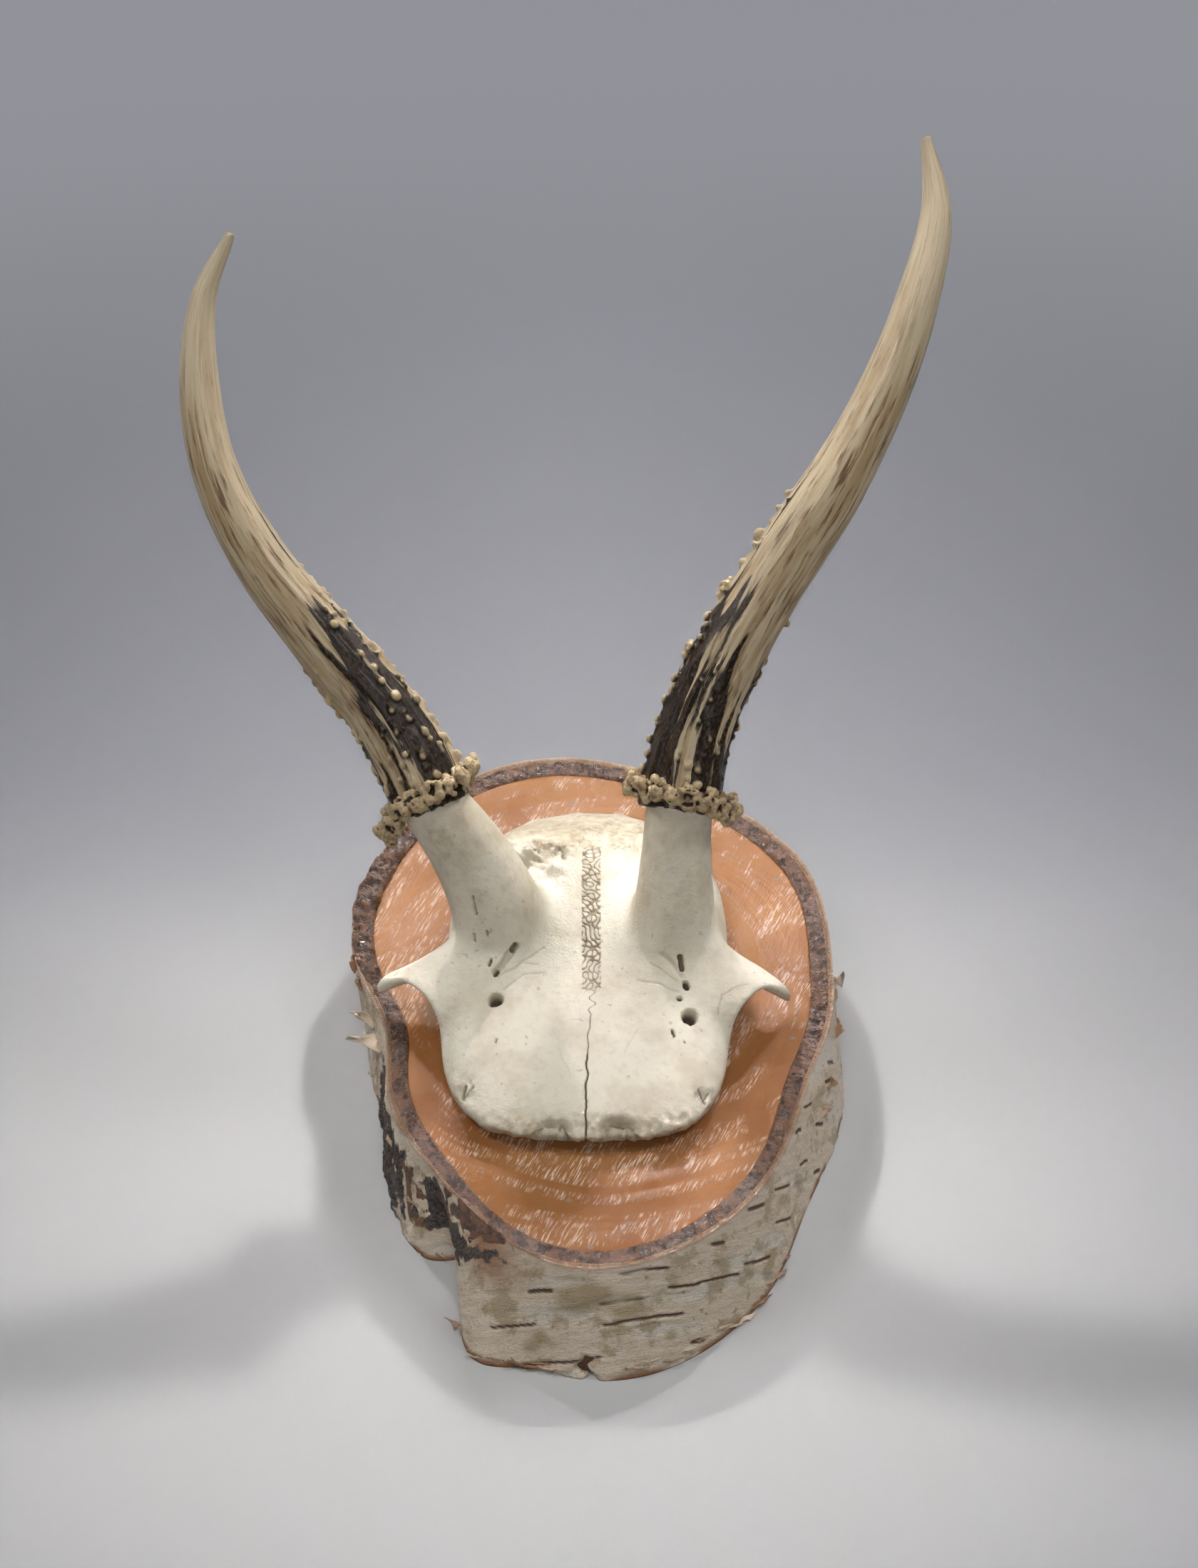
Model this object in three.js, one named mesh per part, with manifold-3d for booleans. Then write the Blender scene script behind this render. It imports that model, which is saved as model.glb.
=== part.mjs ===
// A roe buck trophy: a sawn skull cap with two unforked spike antlers, lying on an
// obliquely cut slice of birch log.
// Millimetres, +Z up. The slice lies flat on z = 0; the front (nasal) edge faces -Y and the
// antlers lean back towards +Y. The origin is on the flat sawn back of the slice.

import * as THREE from 'three';
import { mergeVertices } from 'three/addons/utils/BufferGeometryUtils.js';
import Module from 'manifold-3d';

const wasm = await Module();
wasm.setup();

// ---- clearances -------------------------------------------------------------------------
const GAP = 0.3;

// ---- birch slice ------------------------------------------------------------------------
const SLICE_THICKNESS = 18.5;
// The log runs obliquely through the two parallel saw cuts, so the outline slides with depth.
const SLIDE_X = 3.4;
const SLIDE_Y = -17.7;
// Outline of the sawn face to the edge of the inner bark: a mean radius and its waves (cos, sin).
const FACE_CENTRE_Y = 3;
const FACE_RADIUS = 60.5;
const FACE_WAVES = [
  [0.1, 3.0],
  [-11.7, -1.7],
  [1.05, 2.7],
  [0.65, 0.5],
  [0.15, -0.2],
  [-0.5, -0.55],
  [0.6, 0.2],
  [0.1, -0.3],
];
const INNER_BARK_WIDTH = 3.8;
const OUTER_BARK_WIDTH = 1.2;
const FACE_SIDES = 60;
const BARK_LAYERS = 3;
// Swellings and hollows of the log's side, in full at the back face: bearing on the face in
// degrees, spread in degrees and reach in mm. The lip and the fissure are an old wound.
const LOG_RELIEF = [
  { name: 'scar', bearing: 197, spread: 24, reach: 3.8 },
  { name: 'fissure', bearing: 233, spread: 5.5, reach: -8.5 },
  { name: 'lip', bearing: 246, spread: 8, reach: 8.2 },
  { name: 'taper', bearing: 305, spread: 45, reach: -3.4 },
  { name: 'all_round', bearing: 0, spread: 9000, reach: -0.8 },
];
const BARK_RIPPLES = 19;
const BARK_RIPPLE_HEIGHT = 0.25;

// ---- skull cap --------------------------------------------------------------------------
const MIDLINE_X = -1.7;
const CAP_CENTRE_Y = 6;
const CAP_TURN = -1;
// The left side is a little longer, most of all at the tip of its process.
const LEFT_REACH = 1.01;
const LEFT_TIP_REACH = 1.2;
const LEFT_TIP_BACK = 0.9;
const TIP_STARTS = 36;
const TIP_LENGTH = 8;
const CAP_FOOT_Z = SLICE_THICKNESS + GAP;
const BREGMA_Y = 34.5;
// Height of the cap along the midline, front to back: [y, z].
const CROWN_PROFILE = [
  [-40, 23.6],
  [-33, 25.6],
  [-22, 28.4],
  [-8, 31.4],
  [8, 34.2],
  [22, 36.2],
  [32, 37.0],
  [37, 36.2],
  [44, 33.2],
  [50, 29.6],
  [55, 25.6],
  [58, 22.5],
];
// How much the cap falls away sideways, per mm squared, front to back: [y, fall].
const SIDE_FALL = [
  [-40, 0.0018],
  [-20, 0.0026],
  [-6, 0.0016],
  [4, 0.0008],
  [20, 0.0008],
  [32, 0.0026],
  [42, 0.0068],
  [58, 0.0095],
];
// Stations round the cap's edge, one side, front to back. across and along place the edge,
// low is the height of its underside, rim its thickness, shoulder the share of the radius
// where the crown starts to turn down, wall the share where the solid braincase starts under
// the edge, and roof the height of the bone's underside there.
const STATION_SIZES = ['name', 'across', 'along', 'low', 'rim', 'shoulder', 'wall', 'roof'];
const STATIONS = [
  ['nasal', 0, -38.9, 20.9, 1.6, 0.72, 0.86, 21.4],
  ['nasal_side', 8, -38.5, 20.9, 1.6, 0.72, 0.86, 21.4],
  ['front', 16, -37.4, 20.7, 1.8, 0.72, 0.86, 21.4],
  ['front_corner', 25.3, -31.6, 20.4, 1.9, 0.72, 0.86, 21.6],
  ['lobe', 30.2, -20, 20.4, 2.4, 0.7, 0.84, 22.0],
  ['lacrimal', 31.2, -12, 21.2, 2.6, 0.7, 0.8, 25.0],
  ['orbit_front', 32.4, -8.8, 26.0, 2.2, 0.68, 0.74, 29.0],
  ['orbit_crown', 35.4, -5.0, 29.4, 1.7, 0.64, 0.7, 30.5],
  ['process_front', 39.6, -0.8, 28.4, 1.5, 0.56, 0.66, 30.6],
  ['process_tip', 44.6, 3.2, 20.0, 1.7, 0.5, 0.62, 30.0],
  ['process_back', 40.2, 4.9, 23.6, 1.8, 0.56, 0.68, 29.0],
  ['temporal_arch', 33.4, 7.8, 26.0, 2.2, 0.72, 0.82, 27.5],
  ['temporal_wall', 30.8, 12.5, 18.9, 2.4, 0.8, 0.97, 18.9],
  ['temporal', 30.4, 23, 18.9, 2.4, 0.78, 0.97, 18.9],
  ['parietal', 27.2, 37, 18.9, 2.4, 0.74, 0.97, 18.9],
  ['parietal_back', 20.2, 48.8, 18.9, 2.4, 0.74, 0.97, 18.9],
  ['nape_side', 10.5, 55.5, 18.9, 2.4, 0.78, 0.97, 18.9],
  ['nape', 0, 57.3, 18.9, 2.4, 0.8, 0.97, 18.9],
];
const CROWN_RINGS = 5;
const SHOULDER_RINGS = 5;
const COLUMNS_PER_STATION = 2;
// The crown swells up to the foot of each pedicle.
const SWELL_ACROSS = 19;
const SWELL_ALONG = 12.5;
const SWELL_SPREAD = 10.5;
const SWELL_HEIGHT = 7;
// The rough boss at the inner foot of the left pedicle, on the coronal suture.
const BOSS_CENTRE = [-16.0, 30.5, 33.0];
const BOSS_RADIUS = 6.2;

// ---- antlers ----------------------------------------------------------------------------
// Each side: the middle line of the pedicle and of the spike, and the plane of the burr.
const ANTLERS = [
  {
    side: 'left',
    towardsMiddle: 1,
    pedicle: [[-19.0, 11.5, 28], [-22.4, 15.0, 40], [-28.0, 19.8, 50.5], [-35.0, 24.2, 60.0],
      [-38.4, 26.6, 64.5]],
    spike: [[-35.2, 23.9, 60.0], [-38.6, 29.3, 66.2], [-45.3, 37.2, 74.4], [-58.4, 48.4, 85.5],
      [-73.1, 62.7, 97.5], [-82.6, 77.5, 109.0], [-86.2, 93.5, 119.5], [-85.6, 109.2, 130.5],
      [-79.7, 120.3, 139.8]],
    pedicleRadii: [10.6, 10.2, 9.2, 8.2, 7.4, 7.1],
    spikeRadii: [9.0, 7.9, 7.4, 6.6, 5.9, 5.1, 4.4, 3.1, 1.1],
    burrTilt: 5,
    burrHang: 2.6,
    pearlRows: [
      { from: 0.09, to: 0.36, count: 6, bearing: 8 },
      { from: 0.08, to: 0.2, count: 3, bearing: 165 },
    ],
  },
  {
    side: 'right',
    towardsMiddle: -1,
    pedicle: [[16.0, 9.5, 28], [17.2, 13.8, 40], [17.6, 18.8, 51], [18.2, 23.2, 60.0],
      [18.8, 25.6, 64.5]],
    spike: [[18.2, 23.0, 59.9], [19.4, 29.0, 66.3], [22.4, 36.4, 73.8], [30.3, 48.4, 85.5],
      [41.8, 62.7, 97.5], [53.8, 78.0, 108.5], [63.5, 94.7, 118.5], [70.5, 111.4, 128.5],
      [74.8, 129.5, 138.4], [72.8, 144.0, 147.2]],
    pedicleRadii: [10.0, 9.6, 8.5, 7.7, 7.3, 7.2],
    spikeRadii: [9.0, 8.1, 7.6, 7.3, 7.2, 6.2, 5.5, 4.7, 3.5, 1.2],
    burrTilt: 4,
    burrHang: 0.8,
    pearlRows: [
      { from: 0.08, to: 0.42, count: 8, bearing: 5 },
      { from: 0.07, to: 0.14, count: 2, bearing: 170 },
    ],
  },
];
const SPIKE_SIDES = 12;
const SPIKE_RINGS = 20;
const PEDICLE_SIDES = 18;
const PEDICLE_RINGS = 8;
// The burr: a collar round the foot of the spike, with a ring of beads on its edge.
const BURR_COLLAR_RADIUS = 9.9;
const BURR_THICKNESS = 5.2;
const BURR_BEADS = 10;
const BURR_SIDES = 16;
const BURR_BEAD_RADIUS = 2.8;
const BURR_RING_RADIUS = 10.0;
const PEARL_RADIUS = 1.25;
// Share of the spike's length where its lower and upper lengths part.
const SPIKE_PARTING = 0.46;

// ---- colours ----------------------------------------------------------------------------
function material(colour, roughness) {
  return new THREE.MeshStandardMaterial({ color: colour, roughness, metalness: 0 });
}
const bone = () => material(0xd9d0bd, 0.5);
const darkAntler = () => material(0x4f3e2c, 0.5);
const paleAntler = () => material(0xb9a684, 0.4);
const burrBone = () => material(0x9c8765, 0.5);

// ---- solids -----------------------------------------------------------------------------
function toSolid(geometry) {
  const bare = geometry.clone();
  bare.deleteAttribute('normal');
  bare.deleteAttribute('uv');
  const closed = mergeVertices(bare, 1e-4);
  return new wasm.Manifold(new wasm.Mesh({
    numProp: 3,
    vertProperties: new Float32Array(closed.attributes.position.array),
    triVerts: new Uint32Array(closed.index.array),
  }));
}

function toGeometry(solid) {
  const mesh = solid.getMesh();
  const geometry = new THREE.BufferGeometry();
  geometry.setAttribute('position', new THREE.BufferAttribute(mesh.vertProperties, 3));
  geometry.setIndex(new THREE.BufferAttribute(mesh.triVerts, 1));
  geometry.computeVertexNormals();
  return geometry;
}

function joinAll(solids) {
  return solids.reduce((all, next) => all.add(next));
}

// ---- curves and profiles ----------------------------------------------------------------
function degrees(angle) {
  return angle * Math.PI / 180;
}

function smooth(t) {
  const s = Math.min(1, Math.max(0, t));
  return s * s * (3 - 2 * s);
}

// Smooth value of a table of [position, value] rows.
function tableValue(table, position) {
  const last = table.length - 1;
  if (position <= table[0][0]) return table[0][1];
  if (position >= table[last][0]) return table[last][1];
  let k = 0;
  while (position > table[k + 1][0]) k += 1;
  const span = table[k + 1][0] - table[k][0];
  const t = (position - table[k][0]) / span;
  const slope = (i) => {
    const a = table[Math.max(0, i - 1)];
    const b = table[Math.min(last, i + 1)];
    return (b[1] - a[1]) / (b[0] - a[0]);
  };
  const h00 = 2 * t ** 3 - 3 * t ** 2 + 1;
  const h10 = t ** 3 - 2 * t ** 2 + t;
  const h01 = 3 * t ** 2 - 2 * t ** 3;
  const h11 = t ** 3 - t ** 2;
  const ends = h00 * table[k][1] + h01 * table[k + 1][1];
  return ends + h10 * span * slope(k) + h11 * span * slope(k + 1);
}

// Height of the crown of the skull cap at a place in plan.
function crownHeight(across, along) {
  const dome = tableValue(CROWN_PROFILE, along) - tableValue(SIDE_FALL, along) * across * across;
  const away = Math.hypot(across - SWELL_ACROSS, along - SWELL_ALONG) / SWELL_SPREAD;
  return dome + SWELL_HEIGHT * Math.exp(-away * away);
}

// The frame at a share of a curve's length: side points to the midline of the skull.
function frameAt(curve, share, towardsMiddle) {
  const point = curve.getPointAt(share);
  const tangent = curve.getTangentAt(share);
  const side = new THREE.Vector3(towardsMiddle, 0, 0);
  side.addScaledVector(tangent, -side.dot(tangent)).normalize();
  const front = new THREE.Vector3().crossVectors(side, tangent);
  if (front.y > 0) front.negate();
  return { point, tangent, side, front };
}

function pathOf(points) {
  return new THREE.CatmullRomCurve3(points.map((p) => new THREE.Vector3(...p)), false, 'centripetal');
}

// A lathed spindle of the given radii, bent along a curve.
function bentSpindle(points, radii, sides, rings, towardsMiddle) {
  const curve = pathOf(points);
  const radiusTable = radii.map((r, k) => [k / (radii.length - 1), r]);
  const profile = [new THREE.Vector2(0, 0)];
  for (let k = 0; k <= rings; k += 1) {
    profile.push(new THREE.Vector2(tableValue(radiusTable, k / rings), k / rings));
  }
  profile.push(new THREE.Vector2(0, 1));
  const spindle = new THREE.LatheGeometry(profile, sides);
  const place = spindle.attributes.position;
  const frames = new Map();
  for (let i = 0; i < place.count; i += 1) {
    const share = place.getY(i);
    const key = share.toFixed(6);
    if (!frames.has(key)) frames.set(key, frameAt(curve, share, towardsMiddle));
    const frame = frames.get(key);
    const moved = frame.point.clone();
    moved.addScaledVector(frame.side, place.getX(i));
    moved.addScaledVector(frame.front, place.getZ(i) * towardsMiddle);
    place.setXYZ(i, moved.x, moved.y, moved.z);
  }
  return toSolid(spindle);
}

// ---- the birch slice --------------------------------------------------------------------
function faceRadius(angle) {
  let radius = FACE_RADIUS;
  FACE_WAVES.forEach((wave, k) => {
    radius += wave[0] * Math.cos((k + 1) * angle) + wave[1] * Math.sin((k + 1) * angle);
  });
  return radius;
}

function hump(angle, centre, spread) {
  const off = angle - degrees(centre);
  const away = Math.atan2(Math.sin(off), Math.cos(off));
  return Math.exp(-((away / degrees(spread)) ** 2));
}

// How far the log's side stands in or out of the face outline, at an angle and a depth share.
function logRelief(angle, depth) {
  return LOG_RELIEF.reduce((sum, r) => sum + r.reach * hump(angle, r.bearing, r.spread), 0) * depth;
}

// The slice out to an offset from the face outline, as a lathed disc pushed out to the
// outline. past carries its ends beyond the two saw cuts, for a solid that cuts another.
function sliceDisc(offset, ripple, past) {
  const heights = [];
  for (let k = 0; k <= BARK_LAYERS; k += 1) heights.push(SLICE_THICKNESS * k / BARK_LAYERS);
  if (past > 0) {
    heights.unshift(-past);
    heights.push(SLICE_THICKNESS + past);
  }
  const profile = heights.map((height) => new THREE.Vector2(1, height));
  profile.unshift(new THREE.Vector2(0, heights[0]));
  profile.push(new THREE.Vector2(0, heights[heights.length - 1]));
  const disc = new THREE.LatheGeometry(profile, FACE_SIDES);
  const place = disc.attributes.position;
  for (let i = 0; i < place.count; i += 1) {
    const angle = Math.atan2(place.getX(i), place.getZ(i));
    const onAxis = Math.hypot(place.getX(i), place.getZ(i)) < 0.5;
    const z = place.getY(i);
    const depth = Math.min(1, Math.max(0, 1 - z / SLICE_THICKNESS));
    const edge = faceRadius(angle) + logRelief(angle, depth) + offset;
    const radius = onAxis ? 0 : edge + ripple * Math.sin(angle * BARK_RIPPLES);
    place.setXYZ(
      i,
      radius * Math.cos(angle) + SLIDE_X * depth,
      radius * Math.sin(angle) + FACE_CENTRE_Y + SLIDE_Y * depth,
      z,
    );
  }
  return toSolid(disc);
}

// ---- the skull cap ----------------------------------------------------------------------
// All stations as [bearing from the front, values], both sides, sorted by bearing.
function stationTables() {
  const keys = ['radius', 'low', 'rim', 'shoulder', 'wall', 'roof'];
  const rows = STATIONS.map((station) => {
    const row = {};
    STATION_SIZES.forEach((size, k) => {
      row[size] = station[k];
    });
    row.bearing = Math.atan2(row.across, CAP_CENTRE_Y - row.along);
    row.radius = Math.hypot(row.across, CAP_CENTRE_Y - row.along);
    return row;
  });
  const tables = {};
  keys.forEach((key) => {
    tables[key] = rows.map((r) => [r.bearing, r[key]]);
  });
  tables.bearings = rows.map((r) => r.bearing);
  return tables;
}

function capSolid() {
  const tables = stationTables();
  const linear = (table, position) => {
    let k = 0;
    while (k < table.length - 2 && position > table[k + 1][0]) k += 1;
    const t = (position - table[k][0]) / (table[k + 1][0] - table[k][0]);
    return table[k][1] + (table[k + 1][1] - table[k][1]) * Math.min(1, Math.max(0, t));
  };
  // Columns fall on the stations themselves and evenly between them.
  const bearings = [];
  for (let k = 0; k < STATIONS.length - 1; k += 1) {
    for (let j = 0; j < COLUMNS_PER_STATION; j += 1) {
      const a = tables.bearings[k];
      const b = tables.bearings[k + 1];
      bearings.push(a + (b - a) * j / COLUMNS_PER_STATION);
    }
  }
  bearings.push(Math.PI);
  const half = bearings.length - 1;
  const columns = 2 * half;
  const rows = CROWN_RINGS + SHOULDER_RINGS + 6;
  const ball = new THREE.SphereGeometry(1, columns, rows);
  const place = ball.attributes.position;
  const uv = ball.attributes.uv;
  for (let i = 0; i < place.count; i += 1) {
    const column = Math.round(uv.getX(i) * columns - (Math.round(uv.getY(i) * rows) % rows ? 0 : 0.5));
    const row = rows - Math.round(uv.getY(i) * rows);
    const turned = column % columns;
    const mirrored = turned > half;
    const bearing = bearings[mirrored ? columns - turned : turned];
    const sideways = mirrored ? -1 : 1;
    const reach = tableValue(tables.radius, bearing);
    const low = linear(tables.low, bearing);
    const rim = linear(tables.rim, bearing);
    const shoulder = reach * linear(tables.shoulder, bearing);
    const wall = reach * linear(tables.wall, bearing);
    const roof = linear(tables.roof, bearing);
    const turn = (row - CROWN_RINGS) / SHOULDER_RINGS * Math.PI / 2;
    const under = row - CROWN_RINGS - SHOULDER_RINGS;
    let radius = shoulder * row / CROWN_RINGS;
    let drop = 0;
    if (row > CROWN_RINGS) {
      radius = shoulder + (reach - shoulder) * Math.sin(turn);
      const top = crownHeight(reach * Math.sin(bearing), CAP_CENTRE_Y - reach * Math.cos(bearing));
      drop = (top - low - rim) * (1 - Math.cos(turn));
    }
    if (under > 0) {
      radius = [reach - 0.25, (reach + 2 * wall) / 3, wall, wall - 0.6, wall * 0.5, 0][under - 1];
    }
    const across = radius * Math.sin(bearing);
    const along = CAP_CENTRE_Y - radius * Math.cos(bearing);
    let height = crownHeight(across, along) - drop;
    if (under > 0) {
      height = [low, low + (roof - low) * 0.85, roof, CAP_FOOT_Z, CAP_FOOT_Z, CAP_FOOT_Z][under - 1];
    }
    const tip = mirrored ? smooth((across - TIP_STARTS) / TIP_LENGTH) : 0;
    const spread = across * (mirrored ? LEFT_REACH : 1) + tip * LEFT_TIP_REACH;
    place.setXYZ(i, sideways * spread, along - CAP_CENTRE_Y + tip * LEFT_TIP_BACK, height);
  }
  ball.rotateZ(degrees(CAP_TURN));
  ball.translate(MIDLINE_X, CAP_CENTRE_Y, 0);
  return toSolid(ball);
}

// ---- assembly ---------------------------------------------------------------------------
const trophy = new THREE.Group();

function addPiece(name, solid, look) {
  const mesh = new THREE.Mesh(toGeometry(solid), look);
  mesh.name = name;
  trophy.add(mesh);
}

const wood = sliceDisc(-INNER_BARK_WIDTH, 0, 0);
const innerBark = sliceDisc(0, 0, 0).subtract(sliceDisc(GAP - INNER_BARK_WIDTH, 0, 1));
const outerBark = sliceDisc(OUTER_BARK_WIDTH, BARK_RIPPLE_HEIGHT, 0).subtract(sliceDisc(GAP, 0, 1));
addPiece('slice_wood', wood, material(0xb0703f, 0.35));
addPiece('slice_inner_bark', innerBark, material(0x5a3f38, 0.4));
addPiece('slice_outer_bark', outerBark, material(0xb9b2a8, 0.8));

// A half-space as a big box: everything beyond a plane, moved along it by offset.
function beyond(point, direction, offset) {
  const side = 500;
  const box = new THREE.BoxGeometry(side, side, side);
  const turn = new THREE.Quaternion().setFromUnitVectors(new THREE.Vector3(0, 0, 1), direction);
  box.translate(0, 0, side / 2 + offset);
  box.applyQuaternion(turn);
  box.translate(point.x, point.y, point.z);
  return toSolid(box);
}

// The burr's own frame: at the foot of the spike, tilted so that its outer side hangs.
function burrFrame(antler) {
  const frame = frameAt(pathOf(antler.spike), 0.004, antler.towardsMiddle);
  const tilt = degrees(antler.burrTilt) * antler.towardsMiddle;
  frame.tangent.applyAxisAngle(frame.front, tilt * -Math.sign(frame.front.y));
  frame.side.applyAxisAngle(frame.front, tilt * -Math.sign(frame.front.y));
  const across = new THREE.Vector3().crossVectors(frame.side, frame.tangent);
  frame.matrix = new THREE.Matrix4().makeBasis(frame.side, frame.tangent, across);
  frame.matrix.setPosition(frame.point);
  return frame;
}

function burrSolids(antler) {
  const { matrix } = burrFrame(antler);
  const profile = [
    [0, 0],
    [7.8, 0],
    [BURR_COLLAR_RADIUS, 1.0],
    [BURR_COLLAR_RADIUS, BURR_THICKNESS - 1.6],
    [8.6, BURR_THICKNESS],
    [0, BURR_THICKNESS],
  ];
  const collar = new THREE.LatheGeometry(profile.map((p) => new THREE.Vector2(...p)), BURR_SIDES);
  const solids = [toSolid(collar.applyMatrix4(matrix))];
  for (let k = 0; k < BURR_BEADS; k += 1) {
    const angle = 2 * Math.PI * k / BURR_BEADS;
    const hang = antler.burrHang * hump(angle, 180, 40);
    const radius = BURR_BEAD_RADIUS * (1 + 0.16 * Math.sin(k * 2.4)) + 0.3 * hang;
    const bead = new THREE.SphereGeometry(radius, 6, 4);
    const ring = BURR_RING_RADIUS + 0.5 * hang;
    bead.translate(
      ring * Math.cos(angle),
      2.3 + 0.6 * Math.sin(k * 3.7) - hang,
      ring * Math.sin(angle),
    );
    solids.push(toSolid(bead.applyMatrix4(matrix)));
  }
  return solids;
}

// Pearls along a row on the spike: shares of its length, how many, and their bearing from
// the side that faces the other antler.
function pearlSolids(antler) {
  const spike = pathOf(antler.spike);
  const radiusTable = antler.spikeRadii.map((r, k) => [k / (antler.spikeRadii.length - 1), r]);
  const solids = [];
  antler.pearlRows.forEach(({ from, to, count, bearing }) => {
    for (let k = 0; k < count; k += 1) {
      const share = from + (to - from) * k / Math.max(1, count - 1);
      const angle = degrees(bearing + 14 * Math.sin(k * 2.1));
      const frame = frameAt(spike, share, antler.towardsMiddle);
      const reach = tableValue(radiusTable, share) * 0.98;
      const centre = frame.point.clone();
      centre.addScaledVector(frame.side, reach * Math.cos(angle));
      centre.addScaledVector(frame.front, reach * Math.sin(angle));
      const pearl = new THREE.SphereGeometry(PEARL_RADIUS * (1 + 0.25 * Math.sin(k * 1.7)), 5, 3);
      pearl.translate(centre.x, centre.y, centre.z);
      solids.push(toSolid(pearl));
    }
  });
  return solids;
}

const boss = new THREE.SphereGeometry(BOSS_RADIUS, 10, 7);
boss.translate(...BOSS_CENTRE);
let cap = capSolid().add(toSolid(boss));
ANTLERS.forEach((antler) => {
  const { side, towardsMiddle } = antler;
  const foot = burrFrame(antler);
  const pedicle = bentSpindle(antler.pedicle, antler.pedicleRadii, PEDICLE_SIDES, PEDICLE_RINGS,
    towardsMiddle);
  cap = cap.add(pedicle.subtract(beyond(foot.point, foot.tangent, -GAP)));

  const spike = bentSpindle(antler.spike, antler.spikeRadii, SPIKE_SIDES, SPIKE_RINGS, towardsMiddle);
  const burr = joinAll(burrSolids(antler));
  const above = beyond(foot.point, foot.tangent, BURR_THICKNESS);
  const clearOfBurr = beyond(foot.point, foot.tangent, BURR_THICKNESS + GAP);
  const parting = frameAt(pathOf(antler.spike), SPIKE_PARTING, towardsMiddle);
  const upperHalf = beyond(parting.point, parting.tangent, GAP);
  const lowerCut = beyond(parting.point, parting.tangent, 0);
  const beam = joinAll([spike, ...pearlSolids(antler)]).intersect(clearOfBurr);
  addPiece(`antler_${side}_burr`, burr.subtract(above), burrBone());
  addPiece(`antler_${side}_lower`, beam.subtract(lowerCut), darkAntler());
  addPiece(`antler_${side}_upper`, beam.intersect(upperHalf), paleAntler());
});

// The cap's bones: the frontals part at the midline, and the parietals behind the bregma.
const turned = degrees(CAP_TURN);
const backward = new THREE.Vector3(-Math.sin(turned), Math.cos(turned), 0);
const rightward = new THREE.Vector3(Math.cos(turned), Math.sin(turned), 0);
const bregma = new THREE.Vector3(MIDLINE_X, CAP_CENTRE_Y, 0)
  .addScaledVector(backward, BREGMA_Y - CAP_CENTRE_Y);
const behind = beyond(bregma, backward, GAP / 2);
const frontals = cap.subtract(beyond(bregma, backward, -GAP / 2));
addPiece('frontal_left', frontals.subtract(beyond(bregma, rightward, -GAP / 2)), bone());
addPiece('frontal_right', frontals.intersect(beyond(bregma, rightward, GAP / 2)), bone());
addPiece('parietals', cap.intersect(behind), bone());

export default trophy;
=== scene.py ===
from math import cos, degrees, pi, radians, sin

import bmesh
import bpy
import numpy as np
from bpy.props import FloatProperty, FloatVectorProperty, PointerProperty
from mathutils import Matrix, Vector


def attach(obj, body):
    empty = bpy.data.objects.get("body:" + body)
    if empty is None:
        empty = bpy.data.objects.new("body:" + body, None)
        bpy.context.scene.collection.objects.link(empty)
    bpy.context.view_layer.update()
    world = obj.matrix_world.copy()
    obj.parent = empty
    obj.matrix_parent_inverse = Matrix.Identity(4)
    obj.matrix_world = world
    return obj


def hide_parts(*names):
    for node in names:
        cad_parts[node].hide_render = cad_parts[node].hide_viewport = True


bl_info = {
    "name": "Roe Buck Trophy",
    "version": (1, 0, 0),
    "blender": (4, 5, 0),
    "location": "View3D > Sidebar > Trophy",
    "description": "Builds a roe buck skull cap with spike antlers on a slice of birch log",
    "category": "Object",
}

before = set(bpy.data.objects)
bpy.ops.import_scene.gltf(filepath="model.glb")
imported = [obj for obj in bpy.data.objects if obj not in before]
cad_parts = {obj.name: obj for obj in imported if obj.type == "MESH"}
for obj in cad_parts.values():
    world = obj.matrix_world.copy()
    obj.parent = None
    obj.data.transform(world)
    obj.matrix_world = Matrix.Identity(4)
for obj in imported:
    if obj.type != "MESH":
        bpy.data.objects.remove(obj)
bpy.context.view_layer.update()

# Every size below is in millimetres unless its section says otherwise, in the frame of the
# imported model: the slice lies flat on z = 0, the nasal edge of the skull cap faces -Y and the
# antlers lean back towards +Y. Bearings are in degrees, anticlockwise from +X.
MM = 0.001

# ---- birch slice ---------------------------------------------------------------------------
THICKNESS = 18.5
# The two saw cuts are oblique, so the outline slides this far from the face to the back.
SLIDE = np.array([3.4, -17.7])
FACE_CENTRE = np.array([0.0, 3.0])
FACE_RADIUS = 60.5
# Waves of the face's outline, one to eight round the log: cosine and sine height of each.
FACE_WAVES = [
    (0.1, 3.0), (-11.7, -1.7), (1.05, 2.7), (0.65, 0.5),
    (0.15, -0.2), (-0.5, -0.55), (0.6, 0.2), (0.1, -0.3),
]
INNER_BARK_WIDTH = 3.8
OUTER_BARK_WIDTH = 1.25
# Mean radius of the log, on which the marks of the bark are laid out.
LOG_RADIUS = 62
# Where the growth rings centre, and the bearing of the saw's lines in degrees.
HEART = np.array([3.0, 8.0])
SAW_BEARING = -24
# Bearings of the wound's corky ridge, its cleft and its slit, and of the crack at the foot.
RIDGE_BEARING = 196
CLEFT_BEARING = 247
SLIT_BEARING = 220.5
FOOT_CRACK_BEARING = 266
# Knobs of inner bark: bearing, spread, strength.
KNOBS = [(145, 15, 1.0), (165, 8, 0.5)]
# Swellings and hollows of the log's side, in full at the back: bearing, spread, reach.
LOG_RELIEF = [(197, 24, 3.8), (233, 5.5, -8.5), (246, 8, 8.2), (305, 45, -3.4), (0, 9000, -0.8)]
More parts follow.
